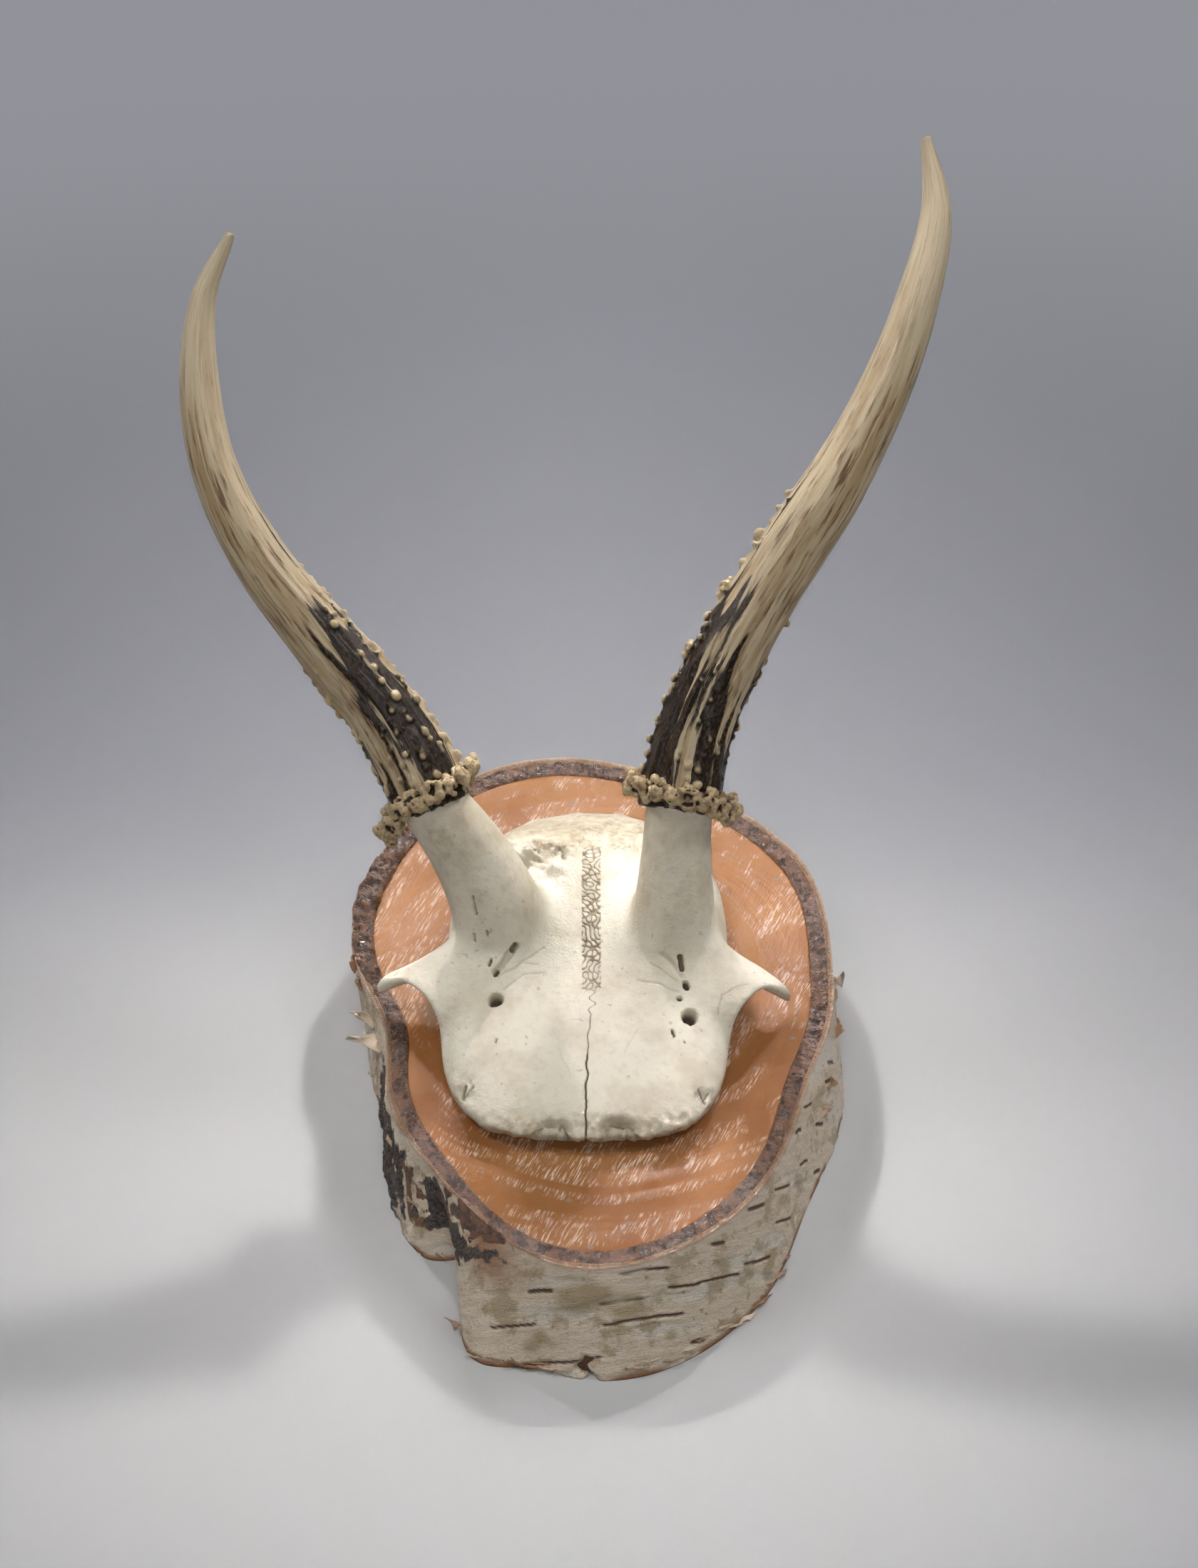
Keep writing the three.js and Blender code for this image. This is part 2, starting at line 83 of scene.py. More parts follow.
# Breathing marks of the bark that stand out: bearing and depth share of the middle, length.
MARKS = [
    (349, 0.36, 8), (332.5, 0.16, 9), (341, 0.54, 8), (324, 0.15, 8), (328, 0.55, 9),
    (338, 0.88, 7), (313, 0.3, 11), (313, 0.6, 11), (302, 0.1, 8), (292, 0.13, 5),
    (302, 0.6, 11), (289, 0.4, 18), (278, 0.07, 11), (274, 0.31, 11), (277, 0.5, 17),
    (260, 0.28, 7), (254, 0.66, 11), (261, 0.89, 19), (286, 0.88, 5), (352, 0.28, 8),
    (20, 0.4, 9), (34, 0.7, 12), (47, 0.3, 8), (63, 0.6, 14), (78, 0.25, 9), (90, 0.75, 12),
    (104, 0.5, 10), (118, 0.3, 14), (131, 0.7, 9), (147, 0.45, 12), (160, 0.8, 8),
]
# Stains of the bark: bearing, share of the depth, size.
BARK_STAINS = [(268, 0.24, 5.5), (292, 0.32, 3.0), (258.5, 0.73, 3.5), (274, 0.34, 4.0), (281, 0.7, 1.6)]
# Rows of small flakes: first and last bearing, step, and the ranges of their reach, length,
# sway in bearing, share of the depth and curl.
FLAKE_ROWS = [
    (243, 312, 3.1, (0.5, 1.4), (3.5, 9), 1, (0.88, 0.99), (-0.1, 0.5)),
    (8, 236, 7.3, (0.5, 1.6), (2, 6), 3, (0.15, 0.97), (0, 0.6)),
]
# Large flakes: bearing, share of the depth, reach, length, curl, paleness.
LARGE_FLAKES = [
    (181, 0.3, 8.5, 6.5, 0.12, 1.0), (177, 0.22, 5.0, 4.0, 0.3, 0.9), (166, 0.05, 2.6, 5.0, 0.7, 0.0),
    (170, 0.1, 2.2, 4.0, 0.5, 0.1), (1, 0.25, 2.2, 4.0, 0.4, 0.1), (350, 0.4, 2.4, 4.5, 0.3, 0.2),
    (344, 0.5, 2.0, 5.5, 0.2, 0.5),
]

# ---- skull cap -----------------------------------------------------------------------------
MIDLINE_X = -1.7
CAP_CENTRE_Y = 6.0
# Degrees by which the cap is turned on the slice.
CAP_TURN = -1.0
# The left side is wider by a share, and its process reaches out and back by a little more.
LEFT_REACH = 1.01
LEFT_TIP_REACH = 1.2
LEFT_TIP_BACK = 0.9
TIP_STARTS = 36.0
TIP_LENGTH = 8.0
CAP_FOOT = THICKNESS + 0.3
# Height of the cap along the midline, front to back.
CROWN_PROFILE = [
    (-40, 23.6), (-33, 25.6), (-22, 28.4), (-8, 31.4), (8, 34.2), (22, 36.2),
    (32, 37.0), (37, 36.2), (44, 33.2), (50, 29.6), (55, 25.6), (58, 22.5),
]
# How much the cap falls away sideways, per mm squared, front to back.
SIDE_FALL = [
    (-40, 0.0018), (-20, 0.0026), (-6, 0.0016), (4, 0.0008),
    (20, 0.0008), (32, 0.0026), (42, 0.0068), (58, 0.0095),
]
# Round the cap's edge, one side, front to back: across, along, underside, rim thickness,
# share of the radius where the crown turns down, share where the braincase starts, roof.
STATIONS = [
    (0.0, -38.9, 20.9, 1.6, 0.72, 0.86, 21.4),
    (8.0, -38.5, 20.9, 1.6, 0.72, 0.86, 21.4),
    (16.0, -37.4, 20.7, 1.8, 0.72, 0.86, 21.4),
    (25.3, -31.6, 20.4, 1.9, 0.72, 0.86, 21.6),
    (30.2, -20.0, 20.4, 2.4, 0.70, 0.84, 22.0),
    (31.2, -12.0, 21.2, 2.6, 0.70, 0.80, 25.0),
    (32.4, -8.8, 26.0, 2.2, 0.68, 0.74, 29.0),
    (35.4, -5.0, 29.4, 1.7, 0.64, 0.70, 30.5),
    (39.6, -0.8, 28.4, 1.5, 0.56, 0.66, 30.6),
    (44.6, 3.2, 20.0, 1.7, 0.50, 0.62, 30.0),
    (40.2, 4.9, 23.6, 1.8, 0.56, 0.68, 29.0),
    (33.4, 7.8, 26.0, 2.2, 0.72, 0.82, 27.5),
    (30.8, 12.5, 18.9, 2.4, 0.80, 0.97, 18.9),
    (30.4, 23.0, 18.9, 2.4, 0.78, 0.97, 18.9),
    (27.2, 37.0, 18.9, 2.4, 0.74, 0.97, 18.9),
    (20.2, 48.8, 18.9, 2.4, 0.74, 0.97, 18.9),
    (10.5, 55.5, 18.9, 2.4, 0.78, 0.97, 18.9),
    (0.0, 57.3, 18.9, 2.4, 0.80, 0.97, 18.9),
]
# Where the frontal bone swells under each pedicle: across and along, spread and height.
SWELL_PLACE = (19.0, 12.5)
SWELL_SPREAD = 10.5
SWELL_HEIGHT = 7.0
# A boss at the left pedicle's inner foot, behind the swelling.
BOSS_CENTRE = np.array([-16.0, 30.5, 33.0])
BOSS_RADIUS = 6.2
# Where the suture between the frontal bones runs: along, across.
MIDLINE = [(-40, -2.0), (-24, -1.7), (-10, -1.2), (-6, -0.9), (30, -0.9), (38, 0.0)]
SUTURE_FRONT = -5.5
SUTURE_BACK = 34.0
# Above this height a point lies on the crown, not on the cap's edge.
TOP_HEIGHT = 20.5
CORONAL_Y = 33.4

# Openings and clefts of the bone: start, end, radius, depth, darkness of the painted shade inside.
OPENINGS = [
    ((-21.6, -6.8, 31.2), (-21.6, -6.8, 31.2), 1.7, 3.4, 1.0),
    ((20.5, -10.6, 29.9), (20.5, -10.6, 29.9), 1.75, 3.6, 1.0),
    ((18.4, 2.0, 35.3), (18.9, -0.4, 34.1), 0.6, 2.2, 0.75),
    ((19.6, -3.4, 32.5), (19.8, -4.0, 32.2), 0.75, 1.9, 1.0),
    ((18.0, -6.7, 31.3), (18.4, -6.7, 31.3), 0.5, 1.2, 0.9),
    ((16.6, -14.2, 29.3), (17.0, -15.4, 29.0), 0.4, 1.0, 0.9),
    ((19.1, -16.6, 28.5), (19.3, -16.8, 28.5), 0.25, 0.5, 0.6),
    ((-17.3, 3.6, 36.8), (-21.6, -0.9, 33.4), 0.85, 0.7, 0.25),
    ((-17.1, 3.8, 36.9), (-18.0, 2.8, 36.2), 0.5, 1.5, 0.7),
    ((-21.3, -0.7, 33.6), (-21.9, -1.3, 33.2), 0.45, 1.4, 0.8),
    ((-22.7, 1.4, 34.8), (-23.1, 0.6, 34.2), 0.35, 1.0, 0.7),
    ((-21.4, -16.0, 28.8), (-21.5, -16.6, 28.7), 0.3, 0.5, 0.6),
    ((-26.6, 8.6, 47.4), (-25.9, 6.4, 43.6), 0.26, 0.7, 0.4),
    ((-23.5, 5.0, 40.3), (-23.4, 4.4, 39.2), 0.3, 0.7, 0.5),
    ((-26.3, 5.6, 38.8), (-26.2, 5.1, 37.0), 0.3, 0.6, 0.4),
    ((-28.0, -26.0, 24.6), (-29.0, -28.6, 23.6), 0.4, 0.9, 0.5),
    ((-26.4, -26.4, 25.0), (-28.8, -29.0, 23.6), 0.26, 0.6, 0.4),
    ((22.2, -27.2, 24.7), (24.4, -30.6, 23.2), 0.26, 0.8, 0.55),
    ((24.6, -27.6, 24.2), (23.6, -29.4, 23.8), 0.22, 0.6, 0.45),
]
# Furrows where vessels lay: points along each, radius, depth, darkness, which is partly painted shade.
FURROWS = [
    ([(-21.0, -2.1, 33.0), (-16.0, 1.6, 34.4), (-11.0, 4.6, 35.2)], 0.24, 0.2, 0.2),
    ([(-19.8, -4.4, 32.0), (-15.6, -1.2, 33.0), (-11.4, -0.8, 33.2)], 0.22, 0.18, 0.18),
    ([(-17.0, 1.4, 34.8), (-12.6, 1.0, 33.9)], 0.2, 0.14, 0.16),
    ([(17.8, -5.0, 31.9), (13.6, -3.6, 32.4), (9.2, -2.6, 32.8)], 0.22, 0.18, 0.18),
    ([(17.2, -2.8, 32.8), (12.0, 0.6, 34.4)], 0.2, 0.16, 0.16),
    ([(18.2, -1.7, 33.4), (14.6, 2.4, 35.8)], 0.6, 0.4, 0.12),
    (
        [(27.0, -9.2, 29.0), (27.2, -5.0, 31.1), (33.0, -2.1, 31.1), (39.0, -0.7, 27.0)],
        0.17, 0.14, 0.36,
    ),
    ([(8.0, 17.0, 36.4), (-8.0, 15.0, 35.6)], 0.14, 0.08, 0.14),
    ([(-8.0, -19.0, 29.2), (-5.4, -26.0, 27.4)], 0.14, 0.08, 0.14),
    ([(9.0, -14.0, 30.4), (6.2, -20.0, 29.0)], 0.14, 0.08, 0.14),
]
# Scallops of the nasal edge, and chips of its corners.
SCALLOPS = [(-9.4, -38.4), (5.2, -38.0)]
CHIPS = [(-28.4, -27.3, 24.0), (23.6, -29.0, 23.8)]
# Middle of the porous patch at the left pedicle's inner foot, and how it is stretched.
POROUS_PATCH = np.array([-14.5, 30.6, 37.5])
POROUS_STRETCH = (1.25, 1, 1.1)
# Stained places of the bone: centre, radius, strength.
BONE_STAINS = [
    ((-34.5, 15.5, 57.5), 5.5, 0.85), ((-28.0, 15.0, 56.0), 6.0, 0.5), ((-16.0, 30.0, 38.0), 8.0, 0.3),
    ((17.0, 16.0, 59.0), 7.0, 0.35), ((-30.0, -26.0, 22.0), 9.0, 0.35), ((26.0, -28.0, 22.0), 8.0, 0.3),
    ((28.0, -8.0, 28.0), 4.5, 0.35), ((-30.0, -8.0, 27.0), 4.5, 0.35),
]

# ---- antlers -------------------------------------------------------------------------------
# For each antler: the middle lines of its pedicle and its spike with radii evenly spaced along
# them, the burr's tilt in degrees and how far its outer side hangs, and the lists that the
# comments on the first antler explain. Bearings go round the spike from the midline side.
ANTLERS = [
    {
        "side": "left",
        "towards_middle": 1,
        "pedicle": [(-19.0, 11.5, 28), (-22.4, 15.0, 40), (-28.0, 19.8, 50.5), (-35.0, 24.2, 60.0),
                    (-38.4, 26.6, 64.5)],
        "spike": [(-35.2, 23.9, 60.0), (-38.6, 29.3, 66.2), (-45.3, 37.2, 74.4), (-58.4, 48.4, 85.5),
                  (-73.1, 62.7, 97.5), (-82.6, 77.5, 109.0), (-86.2, 93.5, 119.5),
                  (-85.6, 109.2, 130.5), (-79.7, 120.3, 139.8)],
        "pedicle_radii": [10.6, 10.2, 9.2, 8.2, 7.4, 7.1],
        "spike_radii": [9.0, 7.9, 7.4, 6.6, 5.9, 5.1, 4.4, 3.1, 1.1],
        "burr_tilt": 5,
        "burr_hang": 2.6,
        "seed": 3,
        # Large pearls one by one: share of the length, bearing, radius.
        "pearls": [
            (0.31, 60, 1.0), (0.25, 57, 0.75), (0.222, 54, 0.7), (0.2, 60, 0.8), (0.17, 58, 1.0),
            (0.15, 26, 1.1), (0.13, 60, 0.6), (0.105, 50, 0.9), (0.09, 94, 0.8), (0.085, 20, 1.1),
            (0.055, 8, 1.2), (0.118, 14, 0.8), (0.07, 40, 0.6), (0.19, 22, 0.7), (0.235, 20, 0.7),
            (0.275, 22, 0.6), (0.045, 66, 0.9), (0.06, 120, 0.7), (0.14, 105, 0.5), (0.36, 30, 0.6),
            (0.41, 26, 0.5), (0.335, 52, 0.6),
        ],
        # Stretches of small pearls: from and to, count, bearing, scatter, size.
        "pearl_rows": [
            (0.05, 0.44, 26, 4, 14, 0.6), (0.05, 0.30, 15, 176, 12, 0.75), (0.04, 0.16, 10, 90, 34, 0.45),
            (0.05, 0.32, 26, 280, 62, 0.75),
        ],
        # Long pale drips: share of the length, bearing, stretch. Cups: share, bearing, radius.
        "drips": [(0.13, 88, 3.2), (0.08, 72, 2.6), (0.05, 100, 2.2), (0.1, 118, 3.0), (0.16, 76, 2.4)],
        "cups": [],
        # Lobes of the burr: bearing, reach outwards, lift, radius, hollow.
        "lobes": [
            (176, 1.6, -1.6, 2.5, 1), (150, 0.9, -1.3, 2.1, 1), (127, 0.4, 0.0, 1.8, 1),
            (104, 0.2, -0.4, 1.9, 0), (80, 0.2, 0.2, 2.0, 1), (56, 0.0, 0.3, 1.7, 0),
            (34, 0.4, 0.4, 1.8, 1), (12, 1.2, 1.2, 2.0, 0), (350, 1.6, 0.9, 1.9, 1),
            (200, 1.2, -1.2, 2.1, 0), (222, 0.6, -0.4, 2.0, 1), (246, 0.4, 0.0, 1.9, 0),
            (270, 0.4, 0.2, 1.9, 1), (293, 0.4, 0.3, 1.8, 0), (315, 0.6, 0.3, 1.9, 1),
            (333, 0.8, 0.6, 1.7, 0),
        ],
        # Dark stretches: share where they fade out, bearing of the middle, spread. The pale patch
        # on them: share and bearing of its middle, its length as a share, and its spread.
        "dark": [(0.31, 62, 44), (0.13, 225, 130)],
        "pale_patch": (0.12, 140, 0.05, 24),
    },
    {
        "side": "right",
        "towards_middle": -1,
        "pedicle": [(16.0, 9.5, 28), (17.2, 13.8, 40), (17.6, 18.8, 51), (18.2, 23.2, 60.0),
                    (18.8, 25.6, 64.5)],
        "spike": [(18.2, 23.0, 59.9), (19.4, 29.0, 66.3), (22.4, 36.4, 73.8), (30.3, 48.4, 85.5),
                  (41.8, 62.7, 97.5), (53.8, 78.0, 108.5), (63.5, 94.7, 118.5), (70.5, 111.4, 128.5),
                  (74.8, 129.5, 138.4), (72.8, 144.0, 147.2)],
        "pedicle_radii": [10.0, 9.6, 8.5, 7.7, 7.3, 7.2],
        "spike_radii": [9.0, 8.1, 7.6, 7.3, 7.2, 6.2, 5.5, 4.7, 3.5, 1.2],
        "burr_tilt": 4,
        "burr_hang": 0.8,
        "seed": 5,
        "pearls": [
            (0.44, 4, 0.8), (0.416, 8, 0.7), (0.374, 2, 1.3), (0.358, 12, 0.8), (0.33, 4, 0.9),
            (0.296, 6, 0.9), (0.246, 8, 1.0), (0.236, 24, 0.8), (0.158, 6, 1.0), (0.149, 22, 0.8),
            (0.13, 4, 1.0), (0.105, 8, 0.9), (0.08, 4, 1.0), (0.063, 14, 0.9), (0.045, 8, 1.0),
            (0.155, 286, 0.7), (0.21, 200, 0.9), (0.13, 184, 0.9), (0.06, 92, 0.8),
            (0.035, 108, 0.9), (0.036, 60, 0.9), (0.17, 70, 0.6),
        ],
        "pearl_rows": [
            (0.04, 0.46, 24, 2, 14, 0.6), (0.05, 0.26, 10, 176, 12, 0.7), (0.04, 0.2, 12, 90, 40, 0.45),
            (0.05, 0.34, 26, 280, 62, 0.75),
        ],
        "drips": [
            (0.155, 92, 2.8), (0.124, 88, 3.0), (0.105, 112, 2.6), (0.19, 80, 2.6), (0.07, 74, 2.2),
            (0.09, 130, 2.6), (0.06, 104, 1.8),
        ],
        "cups": [(0.285, 6, 1.5), (0.198, 8, 1.6)],
        "lobes": [
            (4, 1.7, 1.0, 2.6, 1), (338, 0.8, 0.6, 2.0, 0), (32, 0.9, 0.6, 2.0, 1),
            (55, 0.2, -0.2, 1.6, 0), (78, 0.0, -0.3, 1.5, 0), (97, 0.5, 0.3, 2.1, 1),
            (120, 0.0, -0.6, 1.5, 0), (140, 0.3, -0.6, 1.9, 1), (160, 0.9, -0.9, 2.3, 1),
            (183, 1.4, -0.2, 2.3, 0), (205, 0.9, 0.2, 2.0, 1), (228, 0.5, 0.2, 1.9, 0),
            (250, 0.4, 0.2, 1.9, 1), (272, 0.4, 0.3, 1.8, 0), (294, 0.4, 0.3, 1.9, 1),
            (316, 0.6, 0.6, 1.8, 0),
        ],
        "dark": [(0.27, 28, 58), (0.2, 110, 30), (0.15, 200, 110)],
        "pale_patch": (0.085, 84, 0.03, 18),
    },
]
# Radius on which the lobes of a burr sit, and radius of the collar that carries them.
BURR_RING = 10.2
BURR_COLLAR = 9.7

# ---- stage, in metres ----------------------------------------------------------------------
# Painted light: how much lighter the floor is painted at the top of the view.
FLOOR_PAINTED_TOP_LIGHT = (1.56, 1.56, 1.57, 1.0)
CAMERA_PLACE = (0.00078, -0.86664, 0.98881)
CAMERA_PITCH = 44.0
LENS = 136.3
OBJECT_PLACE = (0, 0.02, 0.03)


# ---- numbers -------------------------------------------------------------------------------
def smooth(t):
    t = np.clip(t, 0, 1)
    return t * t * (3 - 2 * t)


def bell(distance, width):
    return np.exp(-((distance / width) ** 2))


def cubic(t, start, end, leave, arrive):
    """The curve from start to end, for t from 0 to 1, with the given runs at its two ends."""
    ends = (2 * t**3 - 3 * t**2 + 1) * start + (3 * t**2 - 2 * t**3) * end
    return ends + (t**3 - 2 * t**2 + t) * leave + (t**3 - t**2) * arrive


def table_value(table, position):
    """Smooth value of a table of (position, value) rows."""
    at, value = np.array(table, float).T
    last = len(at) - 1
    before = np.maximum(np.arange(last + 1) - 1, 0)
    after = np.minimum(np.arange(last + 1) + 1, last)
    slope = (value[after] - value[before]) / (at[after] - at[before])
    position = np.clip(position, at[0], at[-1])
    k = np.clip(np.searchsorted(at, position, side="right") - 1, 0, last - 1)
    span = at[k + 1] - at[k]
    t = (position - at[k]) / span
    return cubic(t, value[k], value[k + 1], span * slope[k], span * slope[k + 1])


def even_table(values):
    """A table of values spaced evenly from 0 to 1."""
    return [(k / (len(values) - 1), value) for k, value in enumerate(values)]


def lumps(points, size, seed=0):
    """Smooth noise from -1 to 1, with lumps about size across (one number or one per axis)."""
    places = points / np.asarray(size, float) + 11.7 * (seed + 1)
    cell = np.floor(places).astype(np.int64)
    part = places - cell
    part = part * part * (3 - 2 * part)
    total = np.zeros(len(points))
    for corner in range(8):
        step = np.array([corner & 1, corner >> 1 & 1, corner >> 2 & 1])
        at = cell + step
        code = (at[:, 0] * 73856093) ^ (at[:, 1] * 19349663) ^ (at[:, 2] * 83492791) ^ (seed * 97531)
        code = (code ^ (code >> 13)) * 1274126177
        value = ((code >> 7) & 0xFFFF) / 32767.5 - 1
        total += value * np.prod(np.where(step, part, 1 - part), axis=1)
    return total


def rough(points, size, seed=0, layers=3):
    """Several layers of lumps, each half the size and half the height of the last."""
    shares = [0.5**k for k in range(layers)]
    size = np.asarray(size, float)
    total = sum(share * lumps(points, size * share, seed + 5 * k) for k, share in enumerate(shares))
    return total / sum(shares)


def worm_lines(x, y, wave, seed):
    """Distance-like field whose zero lines wander in loops, spaced about half a wave apart."""
    draws = np.random.default_rng(seed)
    total = np.zeros(len(x))
    count = 46
    for _ in range(count):
        turn, start = draws.uniform(0, 2 * pi, 2)
        total += np.cos(2 * pi / wave * (x * cos(turn) + y * sin(turn)) + start)
    return total / np.sqrt(count / 2)


def bearing_gap(bearing, centre):
    """Signed gap in degrees between bearings in degrees."""
    return (bearing - centre + 180) % 360 - 180


def bearing_bell(bearing, centre, width):
    return bell(bearing_gap(bearing, centre), width)


def outward(angle):
    """Flat directions for angles in radians."""
    return np.stack([np.cos(angle), np.sin(angle)], 1)


def lengths(vectors):
    return np.linalg.norm(vectors, axis=1)


# ---- meshes --------------------------------------------------------------------------------
def read(items, name, width, kind=np.float32):
    """One property of all of a mesh's points or edges, a row for each."""
    values = np.empty(len(items) * width, kind)
    items.foreach_get(name, values)
    return values.reshape(-1, width)


def places_of(mesh):
    return read(mesh.vertices, "co", 3).astype(float) / MM


def move(mesh, points):
    mesh.vertices.foreach_set("co", (points * MM).astype(np.float32).ravel())
    mesh.update()


def normals_of(mesh):
    return read(mesh.vertex_normals, "vector", 3).astype(float)


def edges_of(mesh):
    return read(mesh.edges, "vertices", 2, np.int32)


def neighbour_mean(values, edges):
    count = len(values)
    near, far = edges[:, 0], edges[:, 1]
    degree = np.maximum(np.bincount(edges.ravel(), minlength=count), 1)
    columns = [
        np.bincount(near, values[far, k], count) + np.bincount(far, values[near, k], count)
        for k in range(values.shape[1])
    ]
    return np.stack(columns, 1) / degree[:, None]


def relaxed(points, edges, rounds, share=1.0, push=-0.52):
    """Points drawn towards their neighbours and back, so that bumps go and bulk stays."""
    share = np.asarray(share, float)
    share = share[:, None] if share.ndim else share
    for _ in range(rounds):
        for pull in (0.5, push):
            points = points + pull * share * (neighbour_mean(points, edges) - points)
    return points


def hollowness(points, normals, edges, rounds):
    """How deep each point lies under its surroundings, in mm; negative where it stands out."""
    broad = points
    for _ in range(rounds):
        broad = broad + 0.6 * (neighbour_mean(broad, edges) - broad)
    return np.sum((broad - points) * normals, axis=1)


def paint(mesh, name, values):
    kind = "FLOAT_VECTOR" if values.ndim == 2 else "FLOAT"
    attribute = mesh.attributes.new(name, kind, "POINT")
    slot = "vector" if values.ndim == 2 else "value"
    attribute.data.foreach_set(slot, values.astype(np.float32).ravel())


# The hollow map, which the materials use to paint shade into hollows.
def paint_hollows(mesh, rounds, less=0.0):
    hollow = hollowness(places_of(mesh), normals_of(mesh), edges_of(mesh), rounds)
    paint(mesh, "hollow", hollow - less)


def mesh_of(bm, name):
    mesh = bpy.data.meshes.new(name)
    bm.to_mesh(mesh)
    bm.free()
    return mesh


def add_shell(bm, mesh):
    """Adds a finished mesh to a bmesh and drops the mesh."""
    bm.from_mesh(mesh)
    bpy.data.meshes.remove(mesh)


def sheet_shell(columns, rows, shape):
    """A grid bent into a closed shell: shape gives a point in mm for shares across and along."""
    bm = bmesh.new()
    bmesh.ops.create_grid(bm, x_segments=columns, y_segments=rows, size=1.0)
    flat = np.array([v.co for v in bm.verts])
    across = np.round((flat[:, 0] + 1) / 2 * columns)
    along = np.round((flat[:, 1] + 1) / 2 * rows)
    points = shape((across % columns) / columns, along / rows) * MM
    for vert, point in zip(bm.verts, points):
        vert.co = point
    bmesh.ops.remove_doubles(bm, verts=bm.verts, dist=1e-7)
    bmesh.ops.dissolve_degenerate(bm, dist=1e-7, edges=bm.edges)
    bmesh.ops.recalc_face_normals(bm, faces=bm.faces)
    return bm


def voxel_skin(bm, name, grain):
    """The one outer skin of all the shells in a bmesh, as even small faces."""
    rough_mesh = mesh_of(bm, name + "_shells")
    carrier = bpy.data.objects.new(name + "_carrier", rough_mesh)
    bpy.context.scene.collection.objects.link(carrier)
    remesh = carrier.modifiers.new("skin", "REMESH")
    remesh.mode = "VOXEL"
    remesh.voxel_size = grain
    ready = carrier.evaluated_get(bpy.context.evaluated_depsgraph_get())
    skin = bpy.data.meshes.new_from_object(ready)
    bpy.data.objects.remove(carrier)
    bpy.data.meshes.remove(rough_mesh)
    return skin


def refined(mesh, name, wanted):
    """The mesh with its faces split where wanted, a test of points in mm, holds."""
    inside = wanted(places_of(mesh))
    bm = bmesh.new()
    add_shell(bm, mesh)
    bm.verts.index_update()
    edges = [e for e in bm.edges if inside[e.verts[0].index] and inside[e.verts[1].index]]
    bmesh.ops.subdivide_edges(bm, edges=edges, cuts=1, use_grid_fill=True)
    bmesh.ops.triangulate(bm, faces=bm.faces)
    return mesh_of(bm, name)


def finish_piece(mesh, name, material, slot, *nodes):
    mesh.name = name
    mesh.polygons.foreach_set("use_smooth", np.ones(len(mesh.polygons), bool))
    mesh.materials.clear()
    mesh.materials.append(material)
    piece = bpy.data.objects.new(name, mesh)
    bpy.context.scene.collection.objects.link(piece)
    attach(piece, "root")
    if nodes:
        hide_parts(*nodes)
    return piece


# ---- curves --------------------------------------------------------------------------------
class Path:
    """A smooth curve through points, measured along its length, framed towards the midline."""

    def __init__(self, points, towards_middle, steps=48):
        knots = np.array(points, float)
        knots = np.vstack([2 * knots[0] - knots[1], knots, 2 * knots[-1] - knots[-2]])
        line = []
        t = (np.arange(steps) / steps)[:, None]
        for a, b, c, d in zip(knots, knots[1:], knots[2:], knots[3:]):
            ab, bc, cd = (np.sqrt(np.linalg.norm(q - p)) for p, q in ((a, b), (b, c), (c, d)))
            leave = ((b - a) / ab - (c - a) / (ab + bc) + (c - b) / bc) * bc
            arrive = ((c - b) / bc - (d - b) / (bc + cd) + (d - c) / cd) * bc
            line.append(cubic(t, b, c, leave, arrive))
        self.points = np.vstack([*line, knots[-2]])
        self.towards_middle = towards_middle
        run = np.linalg.norm(np.diff(self.points, axis=0), axis=1)
        self.length = run.sum()
        self.shares = np.concatenate([[0], np.cumsum(run)]) / self.length

    def at(self, share):
        return np.stack([np.interp(share, self.shares, self.points[:, k]) for k in range(3)], -1)

    def frame(self, share):
        """Point, direction, side (towards the midline) and front at shares of the length."""
        share = np.atleast_1d(share)
        ahead = self.at(np.clip(share + 0.01, 0, 1)) - self.at(np.clip(share - 0.01, 0, 1))
        ahead /= np.linalg.norm(ahead, axis=1)[:, None]
        middle = np.array([self.towards_middle, 0.0, 0.0])
        side = middle - ahead * (ahead @ middle)[:, None]
        side /= np.linalg.norm(side, axis=1)[:, None]
        front = np.cross(side, ahead)
        front = np.where(front[:, 1:2] > 0, -front, front)
        return self.at(share), ahead, side, front

    def unrolled(self, points):
        """Share along, bearing from the side in degrees, and distance from the middle line."""
        share = np.empty(len(points))
        for start in range(0, len(points), 20000):
            block = points[start:start + 20000]
            gaps = ((block[:, None, :] - self.points[None, :, :]) ** 2).sum(2)
            share[start:start + 20000] = self.shares[gaps.argmin(1)]
        centre, ahead, side, front = self.frame(share)
        out = points - centre
        share = np.clip(share + np.sum(out * ahead, axis=1) / self.length, 0, 1)
        bearing = np.degrees(np.arctan2(np.sum(out * front, 1), np.sum(out * side, 1)))
        return share, bearing, np.linalg.norm(out, axis=1)


def bent_spindle(path, radii, columns, rows):
    """A closed tube of changing radius along a path."""
    radius_table = even_table(radii)

    def shape(around, along):
        share = np.clip((along * rows - 1) / (rows - 2), 0, 1)
        radius = table_value(radius_table, share)
        radius = np.where((along == 0) | (along == 1), 0, radius)
        centre, _, side, front = path.frame(share)
        turn = 2 * pi * around
        return centre + (radius * np.cos(turn))[:, None] * side + (radius * np.sin(turn))[:, None] * front

    return sheet_shell(columns, rows, shape)


